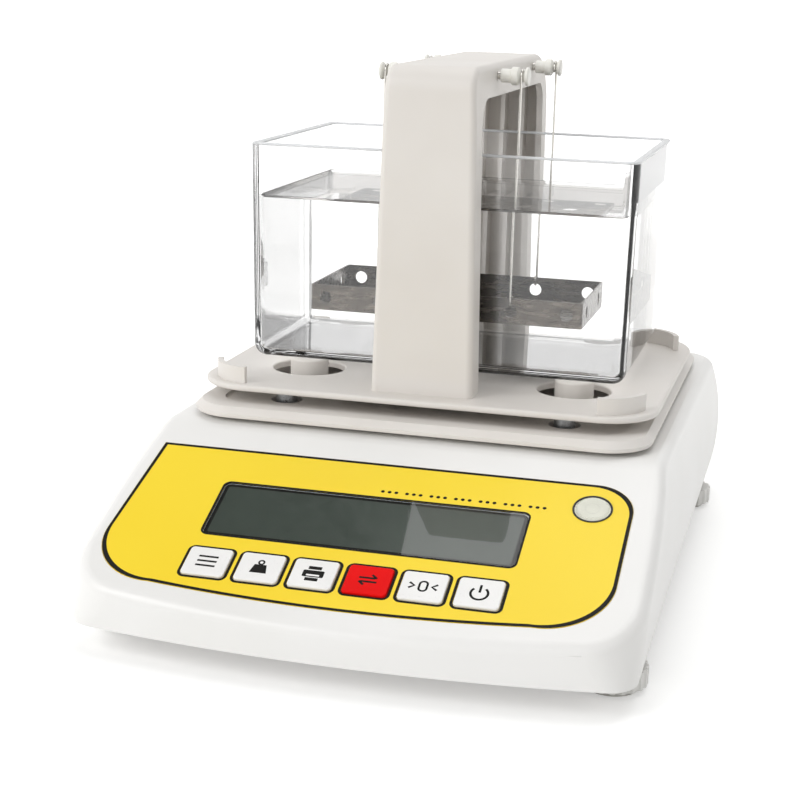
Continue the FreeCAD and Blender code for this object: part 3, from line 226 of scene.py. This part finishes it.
# Wires and pins: drawn stainless, bright, marks run with the wire
drawnSteel = metal("drawn stainless wire", {
    "hex": "D2D0CB", "deepHex": "BDBAB4", "roughness": 0.2, "stretch": (1.0, 1.0, 0.08),
    "patternMm": 0.5, "markDepth": 0.01})
# Screws: zinc plated, bright with a slight blue grey cast
zincSteel = metal("zinc plated steel", {
    "hex": "C3C6C9", "deepHex": "A2A5A8", "roughness": 0.3, "stretch": (1.0, 1.0, 1.0),
    "patternMm": 0.7, "markDepth": 0.02})
# Load cell and spider: milled aluminium, pale, with cutter marks across it
milledAluminium = metal("milled aluminium", {
    "hex": "D4D5D6", "deepHex": "B9BABC", "roughness": 0.34, "stretch": (0.15, 1.0, 1.0),
    "patternMm": 0.8, "markDepth": 0.03})

# Tank: moulded acrylic, clear and colourless, with walls nearly true
tankAcrylic = clearMaterial("clear moulded acrylic", {
    "hex": "FBFBFB", "shadowHex": "FFFFFF", "roughness": 0.0, "ior": 1.49,
    "clearness": 1.0})
# Tank rim: the same acrylic, scraped square and flame polished, so it catches light as a pale line
rimAcrylic = clearMaterial("scraped acrylic rim", {
    "hex": "F2F3F4", "shadowHex": "FFFFFF", "roughness": 0.3, "ior": 1.49,
    "clearness": 0.55, "rippleMm": 3, "rippleDepth": 0.03})
# Water: still and colourless
tankWater = clearMaterial("still water", {
    "hex": "FFFFFF", "shadowHex": "FFFFFF", "roughness": 0.0, "ior": 1.333,
    "clearness": 1.0})
# Display window: cast acrylic, clear with a slight tint that greys the display behind it
windowAcrylic = clearMaterial("cast acrylic window", {
    "hex": "F2F4F3", "shadowHex": "E8EAE9", "roughness": 0.02, "ior": 1.49,
    "clearness": 1.0})
# Level's capsule: clear acrylic over the pale floor
levelCapsule = clearMaterial("clear level capsule", {
    "hex": "FCFDFA", "shadowHex": "FAFBF6", "roughness": 0.02, "ior": 1.45,
    "clearness": 1.0})
print("materials made")

nodeFinish = {
    "upper_housing": housingAbs, "bottom_cover": greyAbs, "panel_overlay": printedSheet,
    "lcd_window": windowAcrylic, "lcd_module": displayGlass, "display_board": boardMask,
    "main_board": boardMask, "connector_board": boardMask, "bubble_level": levelCapsule,
    "level_ring": blackPlastic, "key_switches": blackPlastic, "board_chips": blackPlastic,
    "converter_shield": zincSteel, "dc_jack": blackPlastic, "serial_port": blackPlastic,
    "load_cell": milledAluminium, "load_cell_block": milledAluminium, "pan_spider": milledAluminium,
    "support_plate": greyAbs, "tank_posts": greyAbs, "pan_tray": greyAbs, "arch": greyAbs,
    "front_pin": drawnSteel, "rear_pin": drawnSteel, "front_wires": drawnSteel,
    "rear_wires": drawnSteel, "pin_caps": whiteNylon, "basket": sheetSteel, "tank": tankAcrylic,
}
for name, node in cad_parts.items():
    if name.startswith("key_") and name != "key_switches":
        finish = redKey if name == "key_mode" else whiteKey
    elif name.startswith("foot_pad"):
        finish = padRubber
    elif name.startswith("foot_wheel"):
        finish = wheelAbs
    else:
        finish = nodeFinish.get(name, zincSteel)
    for slotOfNode in node.material_slots:
        slotOfNode.material = finish


# Mesh helpers

def keepPiece(piece, material, body):
    piece.data.materials.clear()
    piece.data.materials.append(material)
    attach(piece, body)
    return piece


def meshPiece(name, points, faces, smooth=True):
    mesh = bpy.data.meshes.new(name)
    mesh.from_pydata(points, [], faces)
    mesh.validate()
    for face in mesh.polygons:
        face.use_smooth = smooth
    piece = bpy.data.objects.new(name, mesh)
    bpy.context.collection.objects.link(piece)
    return piece


def weighNormals(piece):
    # large flats stay flat to the eye beside their rounded edges
    modifier = piece.modifiers.new("weighted normals", "WEIGHTED_NORMAL")
    modifier.mode = "FACE_AREA"
    modifier.weight = 100
    modifier.keep_sharp = True


def roundedRing(halfX, halfY, radius, height, centre, steps):
    points = []
    for quarter, (sideX, sideY) in enumerate(((1, -1), (1, 1), (-1, 1), (-1, -1))):
        for step in range(steps + 1):
            angle = math.radians(-90 + 90 * quarter + 90 * step / steps)
            points.append((
                (centre[0] + sideX * (halfX - radius) + radius * math.cos(angle)) * mm,
                (centre[1] + sideY * (halfY - radius) + radius * math.sin(angle)) * mm,
                height * mm))
    return points


def loftPiece(name, rings, endless=False):
    # rings joined one to the next; the ends are filled, or with endless joined to each other
    count, ringCount = len(rings[0]), len(rings)
    points = [point for ring in rings for point in ring]
    faces = [] if endless else [tuple(range(count))[::-1],
                                tuple(range((ringCount - 1) * count, ringCount * count))]
    for ring in range(ringCount if endless else ringCount - 1):
        upper = (ring + 1) % ringCount
        for step in range(count):
            following = (step + 1) % count
            faces.append((ring * count + step, ring * count + following,
                          upper * count + following, upper * count + step))
    return meshPiece(name, points, faces)


# Clear tank, drawn again with fine round corners so that it bends light as evenly as the real one
tank = {
    "centre": (-1.0, 38.0), "halfX": 75.0, "halfY": 52.2, "bottom": 79.0, "height": 84.0, "wall": 3.3,
    "draft": math.tan(math.radians(0.87)), "corner": 5.5, "edge": 5.0, "rimRound": 0.9, "steps": 14,
}


def tankRings(inset, heights):
    rings = []
    for height, shrink in heights:
        narrow = (tank["bottom"] + tank["height"] - height) * tank["draft"] + inset + shrink
        corner = max(0.6, tank["corner"] - inset - shrink)
        rings.append(roundedRing(tank["halfX"] - narrow, tank["halfY"] - narrow, corner, height,
                                 tank["centre"], tank["steps"]))
    return rings


def edgeHeights(floor, radius, steps):
    # the rounded edge between floor and walls, from the floor outwards
    heights = [(floor, radius + 0.6)]
    for step in range(steps + 1):
        angle = math.radians(90 * step / steps)
        heights.append((floor + radius * (1 - math.cos(angle)), radius * (1 - math.sin(angle))))
    heights.append((floor + radius + 0.5, 0.0))
    return heights


rim = tank["bottom"] + tank["height"]
rimRound = tank["rimRound"]
shoulder = rim - rimRound
outerRings = tankRings(0.0, edgeHeights(tank["bottom"], tank["edge"], 8) + [(shoulder, 0.0)])
innerHeights = edgeHeights(tank["bottom"] + tank["wall"], tank["edge"] - tank["wall"], 6)
innerRings = tankRings(tank["wall"], innerHeights + [(shoulder, 0.0)])
tankPiece = loftPiece("tank_clear", outerRings + innerRings[::-1])
weighNormals(tankPiece)
keepPiece(tankPiece, tankAcrylic, "tank")
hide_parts("tank")
roundSteps = []
for degrees in (0, 30, 60, 90):
    angle = math.radians(degrees)
    roundSteps.append((shoulder + rimRound * math.sin(angle), rimRound * (1 - math.cos(angle))))
rimRings = tankRings(0.0, roundSteps) + tankRings(tank["wall"], [
    (height, -shrink) for height, shrink in roundSteps])[::-1]
rimPiece = loftPiece("tank_rim", rimRings, endless=True)
weighNormals(rimPiece)
keepPiece(rimPiece, rimAcrylic, "tank")

# Water: fills the tank and reaches a hair into its wall, so no air shows between them
water = {"level": 141.7, "reach": 0.04, "meniscus": 1.2, "meniscusStep": 0.42, "meniscusSteps": 6,
         "flatFrom": 5.0}
waterHeights = edgeHeights(tank["bottom"] + tank["wall"] - water["reach"],
                           tank["edge"] - tank["wall"] + water["reach"], 6)
waterInset = tank["wall"] - water["reach"]
waterRings = tankRings(waterInset, waterHeights)
level = water["level"]
for step in range(water["meniscusSteps"] + 1):
    climb = (1 - step / water["meniscusSteps"]) ** 2 * water["meniscus"]
    waterRings += tankRings(waterInset, [(level + climb, step * water["meniscusStep"])])
waterRings += tankRings(waterInset, [(level, water["flatFrom"])])
waterPiece = loftPiece("tank_water", waterRings)
weighNormals(waterPiece)
keepPiece(waterPiece, tankWater, "tank")
print("tank and water made")


# Control panel: everything printed or set into the slope, in the slope's own millimetres
panel = {
    "foldY": -53.0, "foldZ": 62.5, "slope": 23.67, "sheetTop": 0.15, "inkLift": 0.012,
    "left": -88.5, "leftLow": -92.0, "right": 87.0, "top": -15.5, "low": -88.0, "bow": 3.5,
    "corner": 14.0, "lowCorner": 24.0,
}
panelMatrix = Matrix.Translation((0, panel["foldY"] * mm, panel["foldZ"] * mm)) @ Matrix.Rotation(
    math.radians(panel["slope"]), 4, "X")


def arcPoints(start, middle, end, steps):
    # points on the circle through three points, without the last one
    ax, ay = start
    bx, by = middle
    cx, cy = end
    turn = 2 * (ax * (by - cy) + bx * (cy - ay) + cx * (ay - by))
    squareA, squareB, squareC = ax * ax + ay * ay, bx * bx + by * by, cx * cx + cy * cy
    ux = (squareA * (by - cy) + squareB * (cy - ay) + squareC * (ay - by)) / turn
    uy = (squareA * (cx - bx) + squareB * (ax - cx) + squareC * (bx - ax)) / turn
    radius = math.hypot(ax - ux, ay - uy)
    angles = [math.atan2(y - uy, x - ux) for x, y in (start, middle, end)]
    sweep = (angles[2] - angles[0]) % (2 * math.pi)
    if (angles[1] - angles[0]) % (2 * math.pi) > sweep:
        sweep -= 2 * math.pi
    return [(ux + radius * math.cos(angles[0] + sweep * step / steps),
             uy + radius * math.sin(angles[0] + sweep * step / steps)) for step in range(steps)]


def sheetOutline(inset):
    # the printed sheet's edge: square at its top left corner, bowed along its low side
    top, low = panel["top"] - inset, panel["low"] + inset
    right, left = panel["right"] - inset, panel["leftLow"] + inset
    corner, lowCorner, bend = panel["corner"], panel["lowCorner"], 1 - math.sqrt(0.5)
    points = [(panel["left"] + inset, top)]
    points += arcPoints((right - corner, top), (right - corner * bend, top - corner * bend),
                        (right, top - corner), 14)
    points.append((right, top - corner))
    lowBend = lowCorner * bend
    points += arcPoints((right, low + lowCorner), (right - lowBend, low + lowBend * 0.9),
                        (right - lowCorner, low), 18)
    points += arcPoints((right - lowCorner, low), (0.0, low - panel["bow"]), (left + lowCorner, low), 30)
    points += arcPoints((left + lowCorner, low), (left + lowBend, low + lowBend * 0.9),
                        (left, low + lowCorner), 18)
    points.append((left, low + lowCorner))
    return points


def boxOutline(x, y, width, height, radius, steps=6):
    points = []
    for quarter, (sideX, sideY) in enumerate(((1, -1), (1, 1), (-1, 1), (-1, -1))):
        for step in range(steps + 1):
            angle = math.radians(-90 + 90 * quarter + 90 * step / steps)
            points.append((x + sideX * (width / 2 - radius) + radius * math.cos(angle),
                           y + sideY * (height / 2 - radius) + radius * math.sin(angle)))
    return points


def circleOutline(x, y, radius, steps=24):
    return [(x + radius * math.cos(2 * math.pi * step / steps),
             y + radius * math.sin(2 * math.pi * step / steps)) for step in range(steps)]


def strokeOutline(points, width):
    # a line with square ends, drawn as a closed band
    left, right = [], []
    for index, (x, y) in enumerate(points):
        before = points[max(0, index - 1)]
        after = points[min(len(points) - 1, index + 1)]
        along = Vector((after[0] - before[0], after[1] - before[1])).normalized()
        left.append((x - along.y * width / 2, y + along.x * width / 2))
        right.append((x + along.y * width / 2, y - along.x * width / 2))
    return left + right[::-1]


def printOn(name, outlines, low, high, material, body, matrix=panelMatrix):
    # closed outlines filled by the even-odd rule and given a thickness, from low to high
    curve = bpy.data.curves.new(name, "CURVE")
    curve.dimensions = "2D"
    curve.fill_mode = "BOTH"
    curve.extrude = (high - low) / 2 * mm
    for outline in outlines:
        spline = curve.splines.new("POLY")
        spline.points.add(len(outline) - 1)
        for point, (x, y) in zip(spline.points, outline):
            point.co = (x * mm, y * mm, 0.0, 1.0)
        spline.use_cyclic_u = True
    holder = bpy.data.objects.new(name, curve)
    bpy.context.collection.objects.link(holder)
    bpy.context.view_layer.update()
    mesh = bpy.data.meshes.new_from_object(holder.evaluated_get(bpy.context.evaluated_depsgraph_get()))
    bpy.data.objects.remove(holder)
    mesh.name = name
    mesh.transform(matrix @ Matrix.Translation((0, 0, (low + high) / 2 * mm)))
    piece = bpy.data.objects.new(name, mesh)
    bpy.context.collection.objects.link(piece)
    return keepPiece(piece, material, body)


sheetTop, inkTop = panel["sheetTop"], panel["sheetTop"] + panel["inkLift"]
border = {"inset": 0.03, "width": 1.2}
printOn("panel_border", [sheetOutline(border["inset"]), sheetOutline(border["inset"] + border["width"])],
        sheetTop, inkTop, blackInk, "base")
keys = {
    "names": ("key_function", "key_calibrate", "key_print", "key_mode", "key_zero", "key_power"),
    "firstX": -50.7, "pitch": 18.9, "y": -76.1, "width": 15.3, "height": 13.45, "corner": 1.4,
    "lineGap": 0.28, "lineWidth": 0.95, "top": 0.9,
}
keyLines = []
for number in range(len(keys["names"])):
    x = keys["firstX"] + keys["pitch"] * number
    for grow in (keys["lineGap"], keys["lineGap"] + keys["lineWidth"]):
        keyLines.append(boxOutline(x, keys["y"], keys["width"] + grow * 2, keys["height"] + grow * 2,
                                   keys["corner"] + grow))
printOn("key_outlines", keyLines, sheetTop, inkTop, blackInk, "base")
dots = {"firstX": -1.0, "groups": 7, "groupPitch": 8.8, "pitch": 2.45, "y": -30.5, "radius": 0.7}
dotOutlines = []
for group in range(dots["groups"]):
    for number in range(3):
        dotX = dots["firstX"] + dots["groupPitch"] * group + dots["pitch"] * number
        dotOutlines.append(circleOutline(dotX, dots["y"], dots["radius"], 14))
printOn("panel_dots", dotOutlines, sheetTop, inkTop, blackInk, "base")

# Plain marks on the keys, drawn about each key's middle
markWidth = 0.85
arrow = [(-1.6, 1.3), (0.2, 0.0), (-1.6, -1.3)]
powerArc = [(2.9 * math.sin(math.radians(angle)), -0.3 + 2.9 * math.cos(math.radians(angle)))
            for angle in range(38, 323, 12)]
keyMarks = {
    "key_function": [boxOutline(0, rowY, 7.0, markWidth, 0.1, 1) for rowY in (2.2, 0.0, -2.2)],
    "key_calibrate": [[(-3.0, -2.8), (3.0, -2.8), (2.1, 1.2), (-2.1, 1.2)],
                      circleOutline(0, 2.3, 1.25), circleOutline(0, 2.3, 0.6)],
    "key_print": [boxOutline(0, -0.2, 7.4, 3.2, 0.5), boxOutline(0, -0.9, 4.6, 0.8, 0.1, 1),
                  boxOutline(0, 2.6, 4.6, 1.5, 0.1, 1), boxOutline(0, -2.9, 4.6, 1.5, 0.1, 1)],
    "key_mode": [strokeOutline(line, markWidth) for line in (
        [(-3.2, 0.9), (2.4, 0.9)], [(1.0, 2.5), (2.9, 0.9)], [(-2.4, -0.9), (3.2, -0.9)],
        [(-1.0, -2.5), (-2.9, -0.9)])],
    "key_zero": [strokeOutline([(x - 3.2, y) for x, y in arrow], markWidth),
                 strokeOutline([(-x + 3.2, y) for x, y in arrow], markWidth),
                 boxOutline(0, 0, 3.4, 5.2, 1.6), boxOutline(0, 0, 1.9, 3.7, 0.85)],
    "key_power": [strokeOutline(powerArc, markWidth), boxOutline(0, 1.9, markWidth, 3.6, 0.1, 1)],
}
keyInk = 0.012
for number, name in enumerate(keys["names"]):
    x = keys["firstX"] + keys["pitch"] * number
    outlines = [[(x + px, keys["y"] + py) for px, py in outline] for outline in keyMarks[name]]
    printOn(f"{name}_mark", outlines, keys["top"], keys["top"] + keyInk, blackInk, name)

# Display: the cell's face and its black frame, both against the underside of the clear window
display = {"x": -2.9, "y": -47.9, "width": 110.1, "height": 27.1, "corner": 2.0, "frame": 1.3,
           "frameCorner": 0.9, "inkGap": 0.15, "inkLine": 0.75, "under": -1.04, "sheet": 0.012}
cellTop = display["under"] + display["sheet"]
frameTop = cellTop + display["sheet"]
windowOutline = boxOutline(display["x"], display["y"], display["width"], display["height"],
                           display["corner"])
viewOutline = boxOutline(display["x"], display["y"], display["width"] - display["frame"] * 2,
                         display["height"] - display["frame"] * 2, display["frameCorner"])
printOn("display_cell", [windowOutline], display["under"], cellTop, displayGlass, "base")
printOn("display_frame", [windowOutline, viewOutline], cellTop, frameTop, blackInk, "base")
windowLines = []
for grow in (display["inkGap"], display["inkGap"] + display["inkLine"]):
    windowLines.append(boxOutline(display["x"], display["y"], display["width"] + grow * 2,
                                  display["height"] + grow * 2, display["corner"] + grow))
printOn("window_outline", windowLines, sheetTop, inkTop, blackInk, "base")

# Level: a pale floor with its target ring under the clear dome, held by a thin black ring
levelPlace = {"x": 73.0, "y": -28.5, "floorRadius": 6.2, "floorTop": 0.13, "floorSheet": 0.1,
              "targetRadius": 2.6, "targetLine": 0.14, "targetLift": 0.01,
              "ringInner": 6.3, "ringOuter": 6.95, "ringTop": 0.5}


def levelCircle(radius, steps=64):
    return circleOutline(levelPlace["x"], levelPlace["y"], radius, steps)


floorTop = levelPlace["floorTop"]
printOn("level_floor", [levelCircle(levelPlace["floorRadius"])], floorTop - levelPlace["floorSheet"],
        floorTop, levelFloor, "base")
printOn("level_target", [levelCircle(levelPlace["targetRadius"]),
                         levelCircle(levelPlace["targetRadius"] - levelPlace["targetLine"])],
        floorTop, floorTop + levelPlace["targetLift"], greyInk, "base")


def lathe(name, profile, matrix, steps=24):
    # closed profile of (height, radius) in millimetres, turned about the matrix's own z axis
    points, faces = [], []
    for height, radius in profile:
        for step in range(steps):
            angle = 2 * math.pi * step / steps
            points.append(tuple(matrix @ Vector((
                radius * math.cos(angle) * mm, radius * math.sin(angle) * mm, height * mm))))
    count = len(profile)
    for ring in range(count):
        upper = (ring + 1) % count
        for step in range(steps):
            following = (step + 1) % steps
            faces.append((ring * steps + step, ring * steps + following,
                          upper * steps + following, upper * steps + step))
    return meshPiece(name, points, faces)


inner, outer, ringTop = levelPlace["ringInner"], levelPlace["ringOuter"], levelPlace["ringTop"]
ringProfile = [(-0.2, inner), (-0.2, outer), (ringTop - 0.2, outer), (ringTop - 0.05, outer - 0.08),
               (ringTop, outer - 0.2), (ringTop, inner + 0.2), (ringTop - 0.05, inner + 0.08),
               (ringTop - 0.2, inner)]
levelMatrix = panelMatrix @ Matrix.Translation((levelPlace["x"] * mm, levelPlace["y"] * mm, 0))
levelRing = lathe("level_bezel", ringProfile, levelMatrix, 72)
keepPiece(levelRing, blackPlastic, "base")
weighNormals(levelRing)
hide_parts("level_ring")
print("panel made")

# Pin caps: one turned nylon sleeve on each end of a pin, from the arch to its wire's groove
cap = {"pinZ": 191.0, "pinY": (3.4, 72.6), "start": 18.2, "groove": 26.3, "end": 28.9, "bore": 1.5}
capProfile = [
    (cap["start"], cap["bore"]), (cap["start"], 2.3), (cap["start"] + 0.3, 2.6), (21.9, 2.6), (22.1, 2.9),
    (22.3, 3.2), (22.6, 3.4), (24.6, 3.4), (24.9, 3.25), (cap["groove"] - 0.7, 2.05),
    (cap["groove"] + 0.7, 2.05), (27.6, 3.2), (27.9, 3.4), (28.4, 3.4), (28.75, 3.2), (cap["end"], 2.8),
    (cap["end"], 0.05), (28.1, 0.05), (28.1, cap["bore"])]
for pinY in cap["pinY"]:
    for side, sideName in ((-1, "left"), (1, "right")):
        capMatrix = Matrix.Translation((0, pinY * mm, cap["pinZ"] * mm)) @ Matrix.Rotation(
            math.radians(90) * side, 4, "Y")
        depthName = "front" if pinY < tank["centre"][1] else "rear"
        capPiece = lathe(f"pin_cap_{depthName}_{sideName}", capProfile, capMatrix, 40)
        weighNormals(capPiece)
        keepPiece(capPiece, whiteNylon, "pan")
        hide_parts("pin_caps")
print("pin caps made")

# Serial socket in the back wall: a steel D shell round nine pins on a black floor
socket = {"x": -24.0, "z": 25.9, "bodyWidth": 31.0, "bodyHeight": 12.6, "bodyBack": 130.4, "seat": 141.6,
          "floor": 142.3, "shellEnd": 145.5, "pinEnd": 144.8, "shell": 0.45, "halfWidth": 9.2,
          "halfHeight": 4.7, "slant": 0.8, "corner": 1.6, "pinPitch": 2.77, "rowGap": 2.84, "pin": 0.5}
socketMatrix = Matrix.Translation((socket["x"] * mm, 0, socket["z"] * mm)) @ Matrix.Rotation(
    math.radians(-90), 4, "X")


def shellOutline(inset):
    # the D shape, wider above, with rounded corners
    points = []
    radius = socket["corner"] - inset
    halfY = socket["halfHeight"] - inset - radius
    for quarter, (sideX, sideY) in enumerate(((1, -1), (1, 1), (-1, 1), (-1, -1))):
        narrow = socket["slant"] if sideY > 0 else 0.0
        centreX = sideX * (socket["halfWidth"] - narrow - inset - radius)
        for step in range(7):
            angle = math.radians(-90 + 90 * quarter + 15 * step)
            points.append((centreX + radius * math.cos(angle), sideY * halfY + radius * math.sin(angle)))
    return points


socketBody = printOn("socket_body", [boxOutline(0, 0, socket["bodyWidth"], socket["bodyHeight"], 0.4)],
                     socket["bodyBack"], socket["seat"], blackPlastic, "base", socketMatrix)
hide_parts("serial_port")
printOn("socket_floor", [shellOutline(socket["shell"])], socket["seat"], socket["floor"], blackPlastic,
        "base", socketMatrix)
printOn("socket_shell", [shellOutline(0.0), shellOutline(socket["shell"])], socket["seat"],
        socket["shellEnd"], zincSteel, "base", socketMatrix)
pinOutlines = []
for count, rowY in ((5, -socket["rowGap"] / 2), (4, socket["rowGap"] / 2)):
    for number in range(count):
        pinX = (number - (count - 1) / 2) * socket["pinPitch"]
        pinOutlines.append(circleOutline(pinX, rowY, socket["pin"], 12))
printOn("socket_pins", pinOutlines, socket["floor"], socket["pinEnd"], zincSteel, "base",
        socketMatrix)
print("back socket made")


# Camera, where the photograph was taken from
view = {"azimuth": 14.70, "elevation": 14.00, "roll": 1.53, "place": (152.908, -647.356, 230.032),
        "lens": 78.4}
azimuth, elevation = math.radians(view["azimuth"]), math.radians(view["elevation"])
roll = math.radians(view["roll"])
back = Vector((math.sin(azimuth) * math.cos(elevation), -math.cos(azimuth) * math.cos(elevation),
               math.sin(elevation)))
levelRight = Vector((math.cos(azimuth), math.sin(azimuth), 0))
levelUp = back.cross(levelRight)
right = levelRight * math.cos(roll) + levelUp * math.sin(roll)
up = levelUp * math.cos(roll) - levelRight * math.sin(roll)
cameraData = bpy.data.cameras.new("camera")
cameraData.lens = view["lens"]
cameraData.sensor_width = 36.0
cameraData.clip_start = 0.02
camera = bpy.data.objects.new("camera", cameraData)
bpy.context.collection.objects.link(camera)
turn = Matrix((right, up, back)).transposed().to_4x4()
camera.matrix_world = Matrix.Translation(Vector(view["place"]) * mm) @ turn
bpy.context.scene.camera = camera

# Studio: pale floor, white surround, two soft lamps
floorMaterial, floorTree, floorShader, floorOutput, floorPlace = startMaterial("studio floor", {
    "Base Color": linearOf("F6F6F5"), "Roughness": 0.75, "Specular IOR Level": 0.2})
distance = addNode(floorTree, "ShaderNodeVectorMath", {"operation": "LENGTH"}, {0: floorPlace})
glowRise = addNode(floorTree, "ShaderNodeMapRange", {
    "From Min": 0.25, "From Max": 1.6, "To Min": 0.32, "To Max": 1.0}, {"Value": distance.outputs["Value"]})
floorGlow = addNode(floorTree, "ShaderNodeEmission", {"Color": linearOf("FFFFFF")},
                    {"Strength": glowRise.outputs["Result"]})
floorDark = addNode(floorTree, "ShaderNodeEmission", {"Strength": 0.0})
floorMix = addNode(floorTree, "ShaderNodeMixShader", None, {
    0: seenNotLit(floorTree), 1: floorDark.outputs["Emission"], 2: floorGlow.outputs["Emission"]})
floorSum = addNode(floorTree, "ShaderNodeAddShader", None, {
    0: floorShader.outputs["BSDF"], 1: floorMix.outputs["Shader"]})
floorTree.links.new(floorSum.outputs["Shader"], floorOutput.inputs["Surface"])
floorHalf = 20.0
floor = meshPiece("studio_floor", [(-floorHalf, -floorHalf, 0), (floorHalf, -floorHalf, 0),
                                   (floorHalf, floorHalf, 0), (-floorHalf, floorHalf, 0)], [(0, 1, 2, 3)])
floor.data.materials.append(floorMaterial)

world = bpy.data.worlds.new("white surround")
world.use_nodes = True
bpy.context.scene.world = world
surround = world.node_tree.nodes["Background"]
surround.inputs["Color"].default_value = (1, 1, 1, 1)
# white all round up to about 40 degrees, then a dim ceiling, so that the display stays dark
direction = addNode(world.node_tree, "ShaderNodeTexCoord").outputs["Generated"]
axes = addNode(world.node_tree, "ShaderNodeSeparateXYZ", None, {"Vector": direction})
ceiling = addNode(world.node_tree, "ShaderNodeMapRange", {
    "interpolation_type": "SMOOTHSTEP", "From Min": 0.6, "From Max": 0.82, "To Min": 1.0, "To Max": 0.1},
    {"Value": axes.outputs["Z"]})
# the right side gives less light, so that right faces fall off, but it looks as white as the rest
rightward = addNode(world.node_tree, "ShaderNodeMapRange", {
    "From Min": -0.1, "From Max": 0.9, "To Min": 1.0, "To Max": 0.6}, {"Value": axes.outputs["X"]})
sideLevel = addNode(world.node_tree, "ShaderNodeMath", {"operation": "MAXIMUM"}, {
    0: rightward.outputs["Result"], 1: seenNotLit(world.node_tree)})
brightness = addNode(world.node_tree, "ShaderNodeMath", {"operation": "MULTIPLY"}, {
    0: ceiling.outputs["Result"], 1: sideLevel.outputs["Value"]})
world.node_tree.links.new(brightness.outputs["Value"], surround.inputs["Strength"])

lamps = {
    "top softbox": {"place": (0.226, 0.45, 1.5), "aim": (0.226, 0.4501, 0), "size": (1.2, 1.4),
                    "power": 10.5},
    "left softbox": {"place": (-1.2, -1.3, 1.3), "aim": (0, 0, 0.08), "size": (1.2, 1.2),
                     "power": 16.5},
}
for name, lamp in lamps.items():
    lampData = bpy.data.lights.new(name, "AREA")
    lampData.shape = "RECTANGLE"
    lampData.size, lampData.size_y = lamp["size"]
    lampData.energy = lamp["power"]
    lampObject = bpy.data.objects.new(name, lampData)
    bpy.context.collection.objects.link(lampObject)
    lampObject.location = lamp["place"]
    aim = Vector(lamp["aim"]) - Vector(lamp["place"])
    lampObject.rotation_euler = aim.to_track_quat("-Z", "Y").to_euler()
bpy.context.scene.view_settings.view_transform = "Standard"
print("studio made")
